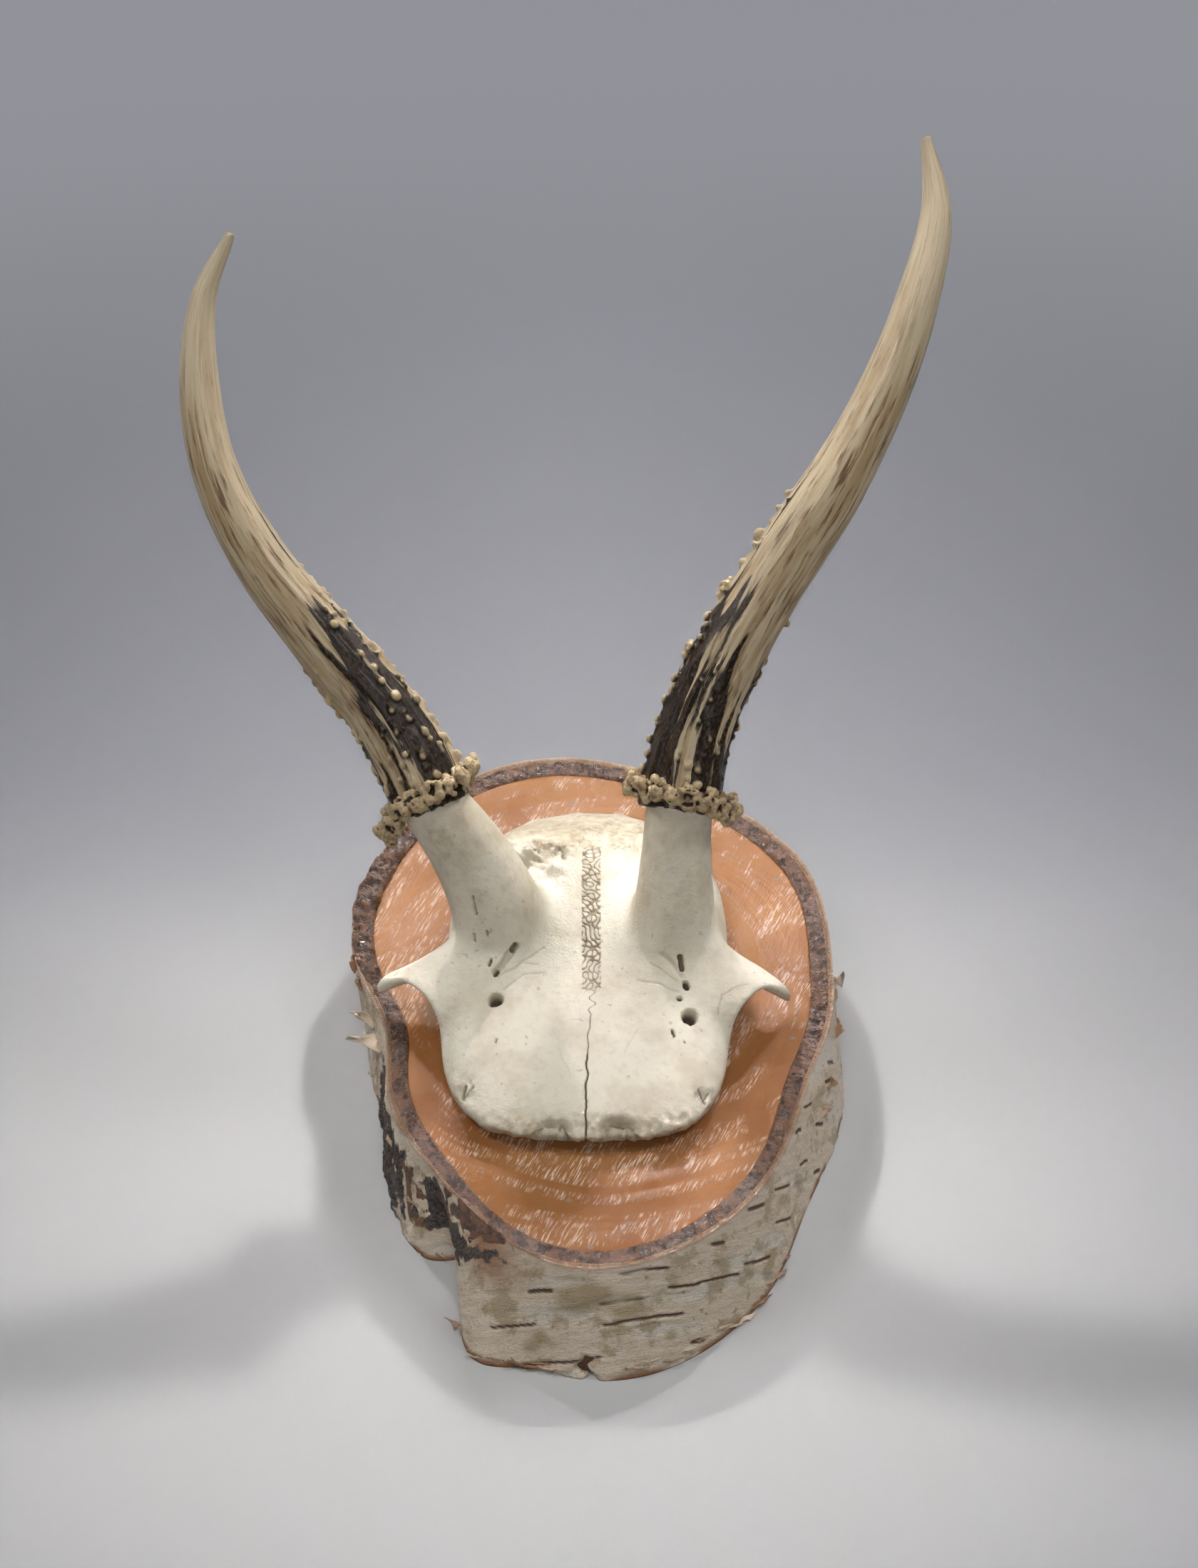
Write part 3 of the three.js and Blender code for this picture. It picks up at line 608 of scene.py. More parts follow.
# ---- materials -----------------------------------------------------------------------------
class Recipe:
    """A node material in the making. Its looks hold the colours, which are given by name."""

    def __init__(self, name, looks, roughness, **sockets):
        self.material = bpy.data.materials.new(name)
        self.material.use_nodes = True
        self.nodes = self.material.node_tree.nodes
        self.looks = looks
        self.own = self.nodes.new("ShaderNodeTexCoord").outputs["Object"]
        self.colour = None
        self.surface = None
        self.set_shader(Roughness=roughness, **sockets)

    def link(self, source, target):
        """Joins an output to an input, or sets the input to a value or a named colour."""
        if isinstance(source, bpy.types.NodeSocket):
            self.material.node_tree.links.new(source, target)
        elif isinstance(source, str):
            target.default_value = (*getattr(self.looks, source), 1.0)
        else:
            target.default_value = source

    def new(self, kind, **inputs):
        """A new node with some of its inputs linked or set."""
        node = self.nodes.new("ShaderNode" + kind)
        for name, source in inputs.items():
            self.link(source, node.inputs[name])
        return node

    def set_shader(self, **inputs):
        """Links or sets inputs of the shader, named with _ for each space."""
        for name, source in inputs.items():
            self.link(source, self.nodes["Principled BSDF"].inputs[name.replace("_", " ")])

    def attribute(self, name, output="Fac"):
        node = self.new("Attribute")
        node.attribute_name = name
        return node.outputs[output]

    def place(self, source=None, size=(1, 1, 1), turn=0.0, start=(0, 0, 0)):
        """Coordinates from start, turned about Z, in which one unit is size mm along each axis."""
        unit = MM if source is None else 1.0
        node = self.new(
            "Mapping", Vector=self.own if source is None else source, Location=[unit * s for s in start],
            Scale=[unit * s for s in size], Rotation=(0, 0, radians(turn)),
        )
        node.vector_type = "TEXTURE"
        return node.outputs["Vector"]

    def pool(self, place):
        """1 at the origin of a place, falling evenly to 0 at a distance of one unit."""
        node = self.new("TexGradient", Vector=place)
        node.gradient_type = "SPHERICAL"
        return node.outputs["Fac"]

    def along_y(self, place):
        return self.new("SeparateXYZ", Vector=place).outputs["Y"]

    def noise(self, place, detail=2.0, roughness=0.5, distortion=0.0):
        """Noise at a place, or with lumps of so many mm."""
        if isinstance(place, (int, float)):
            place = self.place(size=(place, place, place))
        node = self.new(
            "TexNoise", Vector=place, Scale=1.0, Detail=detail, Roughness=roughness, Distortion=distortion
        )
        return node.outputs["Fac"]

    def cells(self, place):
        return self.new("TexVoronoi", Vector=place, Scale=1.0).outputs["Distance"]

    def ramp(self, value, *stops):
        """A value from 0 to 1 eased between (position, value) stops."""
        node = self.new("ValToRGB", Fac=value)
        node.color_ramp.interpolation = "EASE" if len(stops) == 2 else "B_SPLINE"
        marks = node.color_ramp.elements
        while len(marks) < len(stops):
            marks.new(0.5)
        for mark, (position, shade) in zip(marks, stops):
            mark.position = position
            mark.color = (shade, shade, shade, 1)
        return node.outputs["Color"]

    def maths(self, operation, first, second):
        node = self.new("Math")
        node.operation = operation
        self.link(first, node.inputs[0])
        self.link(second, node.inputs[1])
        return node.outputs["Value"]

    def times(self, first, second):
        return self.maths("MULTIPLY", first, second)

    def mix(self, amount, first, second, blend="MIX"):
        node = self.new("Mix")
        node.data_type = "RGBA"
        node.blend_type = blend
        self.link(amount, node.inputs["Factor"])
        self.link(first, node.inputs[6])
        self.link(second, node.inputs[7])
        return node.outputs[2]

    def tint(self, over, amount, *stops):
        """Lays a colour over the colour so far, by an amount that stops may reshape."""
        amount = self.ramp(amount, *stops) if stops else amount
        self.colour = self.mix(amount, self.colour, over)

    def bump(self, height, depth):
        """Adds a relief of depth mm to the relief so far."""
        node = self.new("Bump", Height=height, Distance=depth * MM)
        if self.surface is not None:
            self.link(self.surface, node.inputs["Normal"])
        self.surface = node.outputs["Normal"]

    def finish(self, roughness=None):
        self.set_shader(Base_Color=self.colour)
        if roughness is not None:
            self.set_shader(Roughness=roughness)
        if self.surface is not None:
            self.set_shader(Normal=self.surface)
        return self.material


def bone_material(looks):
    """Cream bone: grey mottling, yellow stains, painted shade in every hollow, dirt and painted shade in
    its marks, fine pores.
    """
    bone = Recipe("bone", looks, 0.48, Coat_Weight=0.12, Coat_Roughness=0.3)
    cloudy, fine, pores = bone.noise(13, 4, 0.6), bone.noise(1.6, 3, 0.6), bone.noise(0.5, 1)
    bone.colour = "bone"
    bone.tint("grey_bone", cloudy, (0.42, 0), (0.72, 0.8))
    bone.tint("grey_bone", fine, (0.5, 0), (0.8, 0.4))
    bone.tint("stain_and_shade", bone.times(bone.attribute("stain_and_shade"), bone.ramp(fine, (0.25, 0.35), (0.7, 1))))
    bone.tint("stain_and_shade", bone.noise(1.3, 0), (0.77, 0), (0.84, 0.4))
    # Painted shade: the hollows darkened with the stain colour.
    bone.tint("stain_and_shade", bone.attribute("hollow"), (0.0, 0), (0.35, 0.7))
    # Dark suture lines, and painted shade in holes, cracks, grooves, pits and on the parietals.
    bone.tint("dirt_and_shade", bone.attribute("dirt_and_shade"))
    bone.bump(fine, 0.15)
    bone.bump(pores, 0.08)
    return bone.finish(bone.ramp(fine, (0.3, 0.4), (0.7, 0.56)))


def antler_material(looks):
    """Antler: ivory with brown streaks, nearly black low down, pale polished pearls, painted shade in its
    hollows.
    """
    horn = Recipe("antler", looks, 0.5, Specular_IOR_Level=0.35)
    straight = horn.attribute("straight", "Vector")
    dark, proud, hollow, aged = (horn.attribute(n) for n in ("dark", "proud", "hollow", "aged"))
    long_streaks = horn.noise(horn.place(straight, (2.6, 2.6, 38)), 3, 0.6)
    short_streaks = horn.noise(horn.place(straight, (0.9, 0.9, 11)), 3, 0.65)
    grain = horn.noise(horn.place(straight, (0.5, 0.5, 0.9)), 2, 0.6)
    horn.colour = "ivory"
    horn.tint("tan", horn.times(aged, 0.4))
    horn.tint("tan", horn.times(horn.ramp(long_streaks, (0.42, 0), (0.6, 1)), aged))
    horn.tint("brown", horn.times(horn.ramp(short_streaks, (0.5, 0), (0.68, 1)), aged))
    # The furrows' own brown, deepened by painted shade in the hollows.
    horn.tint("brown", hollow, (0.03, 0), (0.3, 0.85))
    broken = horn.maths("ADD", dark, horn.times(short_streaks, 1.3))
    broken = horn.maths("ADD", broken, horn.times(long_streaks, 1.1))
    broken = horn.maths("SUBTRACT", broken, 1.2)
    deep = horn.mix(horn.ramp(grain, (0.45, 0), (0.75, 0.55)), "black", "brown")
    # Painted shade: black in the hollows of the dark stretches.
    deep = horn.mix(horn.ramp(hollow, (0.0, 0), (0.25, 1)), deep, "black")
    horn.tint(deep, broken, (0.3, 0), (0.5, 1))
    horn.tint("pearl", proud)
    horn.bump(short_streaks, 0.25)
    horn.bump(grain, 0.1)
    return horn.finish(horn.ramp(grain, (0.3, 0.32), (0.7, 0.5)))


def burr_material(looks):
    """Burr: cream beads with dark brown hollows between them, partly painted shade."""
    burr = Recipe("burr", looks, 0.45, Specular_IOR_Level=0.4)
    hollow, grain = burr.attribute("hollow"), burr.noise(0.6, 2, 0.6)
    burr.colour = "pearl"
    burr.tint("tan", grain, (0.35, 0), (0.7, 1))
    burr.tint("brown", burr.noise(2.6), (0.5, 0), (0.68, 0.7))
    # The hollows between the beads: the burr's own brown and painted shade, black where deepest.
    burr.tint("brown", hollow, (0.0, 0), (0.1, 0.95))
    burr.tint("black", hollow, (0.07, 0), (0.22, 1))
    burr.bump(grain, 0.15)
    return burr.finish()


def wood_material(looks):
    """Varnished sawn birch: orange-brown, faint growth arcs, oblique saw lines, patchy gloss, painted
    highlights along the saw lines.
    """
    wood = Recipe("varnished_birch", looks, 0.5, Coat_Weight=0.3, Specular_IOR_Level=0.12)
    rings = wood.attribute("rings", "Vector")
    saw = wood.noise(wood.place(size=(0.27, 3.4, 4), turn=SAW_BEARING), 2, 0.6)
    scuffs = wood.noise(wood.place(size=(7, 10, 5), turn=SAW_BEARING), 4, 0.65, 0.6)
    ring_lines = wood.noise(wood.place(rings, (1.3, 40, 1)), 3, 0.6)
    broad_rings = wood.noise(wood.place(rings, (4.6, 34, 1)), 2, 0.6)
    wood.colour = "wood"
    wood.tint("wood_warm", wood.noise(22, 4, 0.6), (0.35, 0), (0.7, 1))
    wood.tint("wood_dark", ring_lines, (0.45, 0), (0.75, 0.2))
    # Painted highlights: pale glints along the saw lines, in bands of growth arcs and patches of scuffs.
    torn = wood.times(wood.ramp(saw, (0.5, 0), (0.62, 0.85)), wood.ramp(broad_rings, (0.43, 0), (0.54, 1)))
    wood.tint("wood_glint", wood.times(torn, wood.ramp(scuffs, (0.43, 0), (0.56, 1))))
    wood.tint("fleck", wood.cells(wood.place(size=(11, 8, 9))), (0.05, 0.7), (0.08, 0))
    wood.bump(wood.times(saw, wood.ramp(broad_rings, (0.4, 0.25), (0.62, 1))), looks.saw_relief / MM)
    wood.bump(scuffs, 0.06)
    wood.set_shader(Coat_Roughness=wood.ramp(scuffs, (0.42, 0.2), (0.58, 0.42)), Coat_Normal=wood.surface)
    return wood.finish()


def inner_bark_material(looks):
    """Varnished inner bark: dark purple-brown lumps with lighter crests, partly painted highlight, and
    painted shade in their hollows.
    """
    bark = Recipe("inner_bark", looks, 0.45, Coat_Weight=0.6, Coat_Roughness=0.08)
    hollow, patches = bark.attribute("hollow"), bark.noise(2.2, 3, 0.6)
    bark.colour = "inner_bark"
    bark.tint("inner_crest", patches, (0.4, 0), (0.65, 1))
    # Painted light: crests painted lighter and hollows painted darker, by how far each point stands out or
    # lies in.
    bark.tint("inner_crest", bark.times(hollow, -1.0), (0.05, 0), (0.3, 0.8))
    bark.tint("cork", hollow, (0.06, 0), (0.4, 0.6))
    bark.bump(bark.noise(0.5, 2, 0.6), 0.5)
    bark.set_shader(Coat_Normal=bark.surface)
    return bark.finish(bark.ramp(patches, (0.35, 0.2), (0.7, 0.5)))


def outer_bark_material(looks):
    """Birch bark: white-grey paper with stains, dark breathing marks, rough cork, gold edge, painted shade
    in its hollows.
    """
    bark = Recipe("birch_bark", looks, 0.62)
    trunk = bark.attribute("trunk", "Vector")
    bands = bark.noise(bark.place(trunk, (7, 7, 7)), 4, 0.65)
    fibres = bark.noise(bark.place(trunk, (1.6, 1.6, 1.6)), 3, 0.7)
    blotch, spots, grain = bark.noise(7, 4, 0.65), bark.noise(2.2), bark.noise(0.6, 3, 0.7)
    bark.colour = "paper"
    bark.tint("paper_grey", bands, (0.35, 0), (0.68, 1))
    bark.tint("paper_tan", fibres, (0.52, 0), (0.78, 0.5))
    bark.tint("paper_fresh", bark.times(bark.attribute("peel"), 0.75))
    bark.tint("paper_stain", blotch, (0.5, 0), (0.62, 0.65))
    bark.tint("paper_stain", spots, (0.64, 0), (0.72, 0.7))
    bark.tint("paper_stain", bark.times(bark.attribute("stained"), 0.75))
    bark.tint("bare", bark.attribute("bare"))
    weathered = bark.mix(bark.ramp(grain, (0.35, 0), (0.7, 1)), "cork", "cork_grey")
    weathered = bark.mix(bark.ramp(blotch, (0.5, 0), (0.7, 0.7)), weathered, "bare")
    ragged = bark.times(bark.maths("SUBTRACT", spots, 0.5), 0.9)
    bark.tint(weathered, bark.maths("ADD", bark.attribute("cork"), ragged), (0.38, 0), (0.56, 1))
    bark.tint("mark", bark.attribute("mark"), (0.2, 0), (0.75, 1))
    # Painted shade: the bark's hollows darkened with the cork colour.
    bark.tint("cork", bark.attribute("hollow"), (0.15, 0), (0.8, 0.85))
    layered = bark.mix(bark.ramp(fibres, (0.4, 0), (0.65, 1)), "edge", "bare")
    bark.tint(layered, bark.attribute("edge"))
    bark.bump(fibres, 0.5)
    bark.bump(grain, 0.35)
    return bark.finish(bark.ramp(bands, (0.35, 0.5), (0.7, 0.72)))


def flake_material(looks):
    """Loose curls of bark: orange-brown inside, paler where they thin out."""
    flake = Recipe("bark_flakes", looks, 0.6)
    blotch = flake.noise(3, 3, 0.6)
    flake.colour = "edge"
    flake.tint("bare", blotch, (0.4, 0), (0.62, 1))
    flake.tint("paper_grey", flake.attribute("pale"))
    flake.bump(blotch, 0.3)
    return flake.finish()


def floor_material(looks):
    """A pale studio floor with painted light: lighter round the object and at the top of the view, with
    painted shade behind the object and at the corners.
    """
    floor = Recipe("floor", looks, 0.6)
    behind = floor.along_y(floor.place(size=(200, 200, 200), start=(0, -50, 0)))
    behind = floor.ramp(behind, (0.25, 0), (0.4, 0.2), (0.55, 0.75), (0.72, 1))
    floor.colour = "floor_lit"
    floor.tint("floor_shaded", behind)
    # Painted light: a pool of light round the object, painted shade towards the corners.
    pool = floor.pool(floor.place(size=(320, 320, 320), start=(-18, -45, 0)))
    corners = floor.ramp(pool, (0.42, 0.6), (0.51, 0.4), (0.62, 0.15), (0.76, 0))
    floor.tint("floor_shaded", floor.times(corners, floor.maths("SUBTRACT", 1.0, behind)))
    # Painted light: the floor painted lighter at the top of the view.
    top = floor.ramp(floor.along_y(floor.place(size=(500, 500, 500))), (0.26, 0), (0.72, 1))
    floor.colour = floor.mix(top, floor.colour, FLOOR_PAINTED_TOP_LIGHT, "MULTIPLY")
    return floor.finish()


# ---- the birch slice -----------------------------------------------------------------------
def face_radius(angle):
    waves = enumerate(FACE_WAVES, 1)
    return FACE_RADIUS + sum(c * np.cos(k * angle) + s * np.sin(k * angle) for k, (c, s) in waves)


def log_relief(angle, depth):
    bearing = np.degrees(angle)
    return depth * sum(reach * bearing_bell(bearing, at, spread) for at, spread, reach in LOG_RELIEF)


def slice_point(angle, depth, offset, share=1.0):
    """A point of the slice: bearing in radians, depth share, offset from the face outline."""
    edge = (face_radius(angle) + log_relief(angle, depth) + offset) * share
    x = edge * np.cos(angle) + SLIDE[0] * depth + FACE_CENTRE[0]
    y = edge * np.sin(angle) + SLIDE[1] * depth + FACE_CENTRE[1]
    return np.stack([x, y, THICKNESS * (1 - depth)], -1)


def trunk_level(angle, depth):
    """Distance along the leaning log in mm, so that marks of one level ring the trunk."""
    axis = np.array([*SLIDE, -THICKNESS])
    return slice_point(angle, depth, 0) @ (axis / np.linalg.norm(axis))


def mark_level(bearing, depth):
    return trunk_level(np.array([radians(bearing)]), np.array([depth]))[0]


def along_ring(bearing, centre):
    """Distance round the log in mm from a bearing in degrees."""
    return np.radians(np.abs(bearing_gap(bearing, centre))) * LOG_RADIUS


def wrapped(angle, across, stretch=1.0):
    """Places round the log, so that noise runs round it without a seam."""
    return np.column_stack([outward(angle) * LOG_RADIUS / stretch, across])


def wood_mesh():
    """The sawn disc: faint ridges of the saw and growth rings on its face."""
    columns, rows, face_rows, side_rows = 300, 150, 118, 12
    back_row = face_rows + side_rows

    def shape(around, along):
        row = along * rows
        share = np.clip(row / face_rows, 0, 1) - np.clip((row - back_row) / (rows - back_row), 0, 1)
        depth = np.clip((row - face_rows) / side_rows, 0, 1)
        points = slice_point(2 * pi * around, depth, -INNER_BARK_WIDTH - 0.05, share)
        on_face = smooth((face_rows - row) / 3)
        relief = 0.05 * rough(points, (2.5, 2.5, 9), 4) + 0.09 * lumps(points, (14, 9, 9), 8)
        points[:, 2] += on_face * relief - 0.12 * smooth((row - face_rows + 6) / 6) * (depth == 0)
        return points

    mesh = mesh_of(sheet_shell(columns, rows, shape), "slice_wood_skin")
    points = places_of(mesh)
    from_heart = points[:, :2] - HEART
    away = np.hypot(*from_heart.T) + 1.5 * lumps(points, (20, 20, 20), 2)
    around = 40 * np.abs(np.arctan2(*from_heart.T))
    paint(mesh, "rings", np.stack([away, around, 0 * away], 1))
    return mesh


def inner_bark_mesh(sizes):
    """The varnished ring of inner bark: radial lumps on top, a coarse knob on the far left."""
    columns, top_rows, top_width, outer_gap = 940, 17, 4.1, 0.3
    profile = [(-INNER_BARK_WIDTH, depth) for depth in (0.9, 0.4, 0.02)]
    profile += [(-INNER_BARK_WIDTH + top_width * k / top_rows, 0.0) for k in range(top_rows + 1)]
    profile += [(outer_gap, depth) for depth in (0.08, 0.5, 0.95)]
    profile += [(-INNER_BARK_WIDTH, 0.95), profile[0]]
    offsets, depths = np.array(profile).T
    rows = len(profile) - 1

    def shape(around, along):
        row = np.round(along * rows).astype(int)
        angle = 2 * pi * around
        bearing = np.degrees(angle)
        knob = sum(share * bearing_bell(bearing, at, spread) for at, spread, share in KNOBS)
        offset = offsets[row] + (offsets[row] > -2) * 1.6 * knob * (depths[row] < 0.5)
        points = slice_point(angle, depths[row], offset)
        on_top = smooth((4.2 - np.abs(row - 11.5) / 2.2) / 1.2) * (depths[row] < 0.1)
        place = wrapped(angle, offset / 1.7, 0.95)
        height = np.maximum(lumps(place, 1.0, 3), -0.35) + 0.5 * lumps(place, 0.55, 9)
        height = height * sizes.lump_height / MM * (1 + 1.3 * knob) + 0.25 + 0.9 * knob
        points[:, 2] += on_top * height
        points[:, :2] += (0.5 * knob * lumps(place, 1.6, 12))[:, None] * outward(angle)
        return points

    mesh = mesh_of(sheet_shell(columns, rows, shape), "inner_bark_skin")
    paint_hollows(mesh, 6)
    return mesh


def bark_marks(bearing, level, place):
    """Short dark breathing marks across the bark, and the lips that edge them."""
    mark, lips = np.zeros(len(bearing)), np.zeros(len(bearing))
    for at, share, length in MARKS:
        wander = 0.35 * lumps(place, (3, 3, 40), int(at))
        across = np.abs(level - mark_level(at, share) + wander)
        inside = smooth((length / 2 - along_ring(bearing, at)) / 1.6)
        mark = np.maximum(mark, inside * bell(across, 0.5 if length < 9 else 0.36))
        lips = np.maximum(lips, inside * bell(across - 0.7, 0.4))
    return mark, lips


def bark_features(angle, depth):
    """Masks on the log's side: cork, breathing marks, bare brown bark and relief in mm."""
    bearing = np.degrees(angle) % 360
    level = trunk_level(angle, depth)
    place = wrapped(angle, level)
    mark, lips = bark_marks(bearing, level, place)

    # The old wound and the crack at the foot.
    ridge_middle = RIDGE_BEARING + 16 * (0.8 - depth)
    ridge = bearing_bell(bearing, ridge_middle, 20) * smooth((depth - 0.02) / 0.3)
    cleft = bearing_bell(bearing, CLEFT_BEARING - 32 * depth, 11 - 5 * depth) * smooth((0.8 - depth) / 0.25)
    slit = bearing_bell(bearing, SLIT_BEARING - 3 * depth, 1.6)
    slit *= smooth((depth - 0.35) / 0.12) * smooth((0.9 - depth) / 0.1)
    crack_middle = FOOT_CRACK_BEARING + 0.8 * np.sin(depth * 40)
    foot_crack = bearing_bell(bearing, crack_middle, 0.9) * smooth((depth - 0.76) / 0.08)
    cork = np.clip(1.1 * ridge + 1.3 * cleft + slit + foot_crack, 0, 1)

    peel = smooth((rough(place * (1, 1, 5), (16, 16, 16), 21) - 0.18) / 0.05)
    ragged_foot = smooth((lumps(place, (9, 9, 9), 31) + 0.25) / 0.3)
    bare = np.clip(smooth((depth - 0.93) / 0.05) * ragged_foot, 0, 1)
    bare = np.maximum(bare, 0.9 * bearing_bell(bearing, 250, 6) * smooth((0.5 - depth) / 0.3))
    relief = 0.3 * rough(place, (11, 11, 11), 14) - 0.22 * peel + 0.16 * lips - 0.32 * mark
    chunks = rough(place, (4.2, 4.2, 5.0), 17)
    cracks = smooth((0.1 - np.abs(lumps(place, 3.4, 19))) / 0.1)
    relief += cork * (1.9 * chunks + 0.3 - 0.9 * cracks)
    relief -= 3.2 * slit + 2.2 * foot_crack + 1.4 * cleft * smooth((0.35 - depth) / 0.3)

    stained = np.zeros(len(angle))
    for at, share, size in BARK_STAINS:
        away = np.hypot(along_ring(bearing, at) / 1.3, level - mark_level(at, share))
        stained = np.maximum(stained, bell(away, size))
    stained = smooth(1.5 * stained - 0.5 + 0.5 * lumps(place, 2.6, 27))
    return {
        "cork": cork, "mark": mark, "bare": bare, "relief": relief, "level": level, "peel": peel,
        "stained": stained,
    }


def outer_bark_mesh():
    """The papery outer bark round the log, with its thin layered edge on the sawn face."""
    columns, top_rows, side_rows, gap = 940, 5, 52, 0.05
    profile = [(gap, depth) for depth in (0.94, 0.5, 0.03)]
    profile += [(gap + OUTER_BARK_WIDTH * k / top_rows, 0.0) for k in range(top_rows + 1)]
    profile += [(gap + OUTER_BARK_WIDTH, (k + 1) / side_rows) for k in range(side_rows)]
    profile += [(0.7, 1.0), (gap, 0.97), profile[0]]
    offsets, depths = np.array(profile).T
    rows = len(profile) - 1

    def shape(around, along):
        row = np.round(along * rows).astype(int)
        angle = 2 * pi * around
        points = slice_point(angle, depths[row], offsets[row])
        outside = smooth((offsets[row] - 0.2) / 0.8)
        relief = bark_features(angle, depths[row])["relief"]
        points[:, :2] += (outside * relief)[:, None] * outward(angle)
        on_top = (row >= 3) & (row <= 8)
        points[:, 2] += on_top * (0.35 + 0.3 * rough(wrapped(angle, offsets[row] * 6), 2.2, 23))
        points[:, 2] = np.maximum(points[:, 2], 0)
        return points

    mesh = mesh_of(sheet_shell(columns, rows, shape), "birch_bark_skin")
    points = places_of(mesh)
    depth = 1 - np.clip(points[:, 2] / THICKNESS, 0, 1)
    from_middle = points[:, :2] - FACE_CENTRE - depth[:, None] * SLIDE
    angle = np.arctan2(from_middle[:, 1], from_middle[:, 0])
    features = bark_features(angle, depth)
    proud = np.hypot(*from_middle.T) - face_radius(angle) - log_relief(angle, depth)
    outside = smooth((proud - 0.5) / 0.6)
    features["mark"] *= smooth((depth - 0.03) / 0.04)
    for name in ("cork", "mark", "peel", "stained"):
        paint(mesh, name, features[name] * outside)
    paint(mesh, "bare", features["bare"])
    paint(mesh, "trunk", wrapped(angle, 6 * features["level"]))
    on_top = smooth((points[:, 2] - THICKNESS + 0.15) / 0.25)
    paint(mesh, "edge", on_top * (0.6 + 0.4 * bell(proud - 0.45, 0.45)))
    paint_hollows(mesh, 10)
    return mesh


def add_flake(bm, bearing, depth, reach, length, curl, draws, pale):
    """One thin curled flake that stands off the log's edge; gives its points' paleness."""
    start = len(bm.verts)
    across, along = 9, 6
    bmesh.ops.create_grid(bm, x_segments=across, y_segments=along, size=1.0)
    bm.verts.ensure_lookup_table()
    angle = radians(bearing)
    root = slice_point(np.array([angle]), np.array([depth]), 0.9)[0]
    out = np.array([cos(angle), sin(angle), 0.0])
    tangent = np.array([-sin(angle), cos(angle), 0.0])
    lean = draws.uniform(-0.35, 0.35)
    torn = draws.uniform(0.55, 1.0, across + 1)
    taper = draws.uniform(0, 1)
    for vert in bm.verts[start:]:
        s, t = vert.co.x, (vert.co.y + 1) / 2
        wide = length / 2 * s * (1 - (0.35 + 0.5 * taper) * t)
        out_reach = reach * t * torn[int(round((s + 1) / 2 * across))]
        place = root + out * (out_reach * cos(curl * t)) + tangent * (wide + lean * out_reach)
        place[2] += curl * reach * t * t + 0.25 * sin(3 * s + 5 * lean)
        place[2] = max(place[2], 0.15)
        vert.co = Vector(place * MM)
    return [pale] * (len(bm.verts) - start)


def flakes_mesh():
    """Peeled curls round the back edge of the bark and torn flakes at its sides."""
    bm = bmesh.new()
    draws = np.random.default_rng(12)
    pale = []
    for first, last, step, reaches, spans, sway, depths, curls in FLAKE_ROWS:
        for bearing in np.arange(first, last, step):
            if abs(bearing - FOOT_CRACK_BEARING) < 4:
                continue
            reach, length = draws.uniform(*reaches), draws.uniform(*spans)
            bearing += draws.uniform(-sway, sway)
            depth, curl = draws.uniform(*depths), draws.uniform(*curls)
            pale += add_flake(bm, bearing, depth, reach, length, curl, draws, draws.uniform(0, 1))
    for bearing, depth, reach, length, curl, paleness in LARGE_FLAKES:
        pale += add_flake(bm, bearing, depth, reach, length, curl, draws, paleness)
    faces = list(bm.faces)
    bmesh.ops.recalc_face_normals(bm, faces=faces)
    bmesh.ops.solidify(bm, geom=faces, thickness=0.22 * MM)
    for vert in bm.verts:
        vert.co.z = max(vert.co.z, 0.1 * MM)
    mesh = mesh_of(bm, "bark_flakes")
    paint(mesh, "pale", np.resize(np.array(pale), len(mesh.vertices)))
    return mesh


# ---- the skull cap -------------------------------------------------------------------------
def crown_height(across, along):
    dome = table_value(CROWN_PROFILE, along) - table_value(SIDE_FALL, along) * across**2
    away = np.hypot(across - SWELL_PLACE[0], along - SWELL_PLACE[1])
    return dome + SWELL_HEIGHT * bell(away, SWELL_SPREAD)


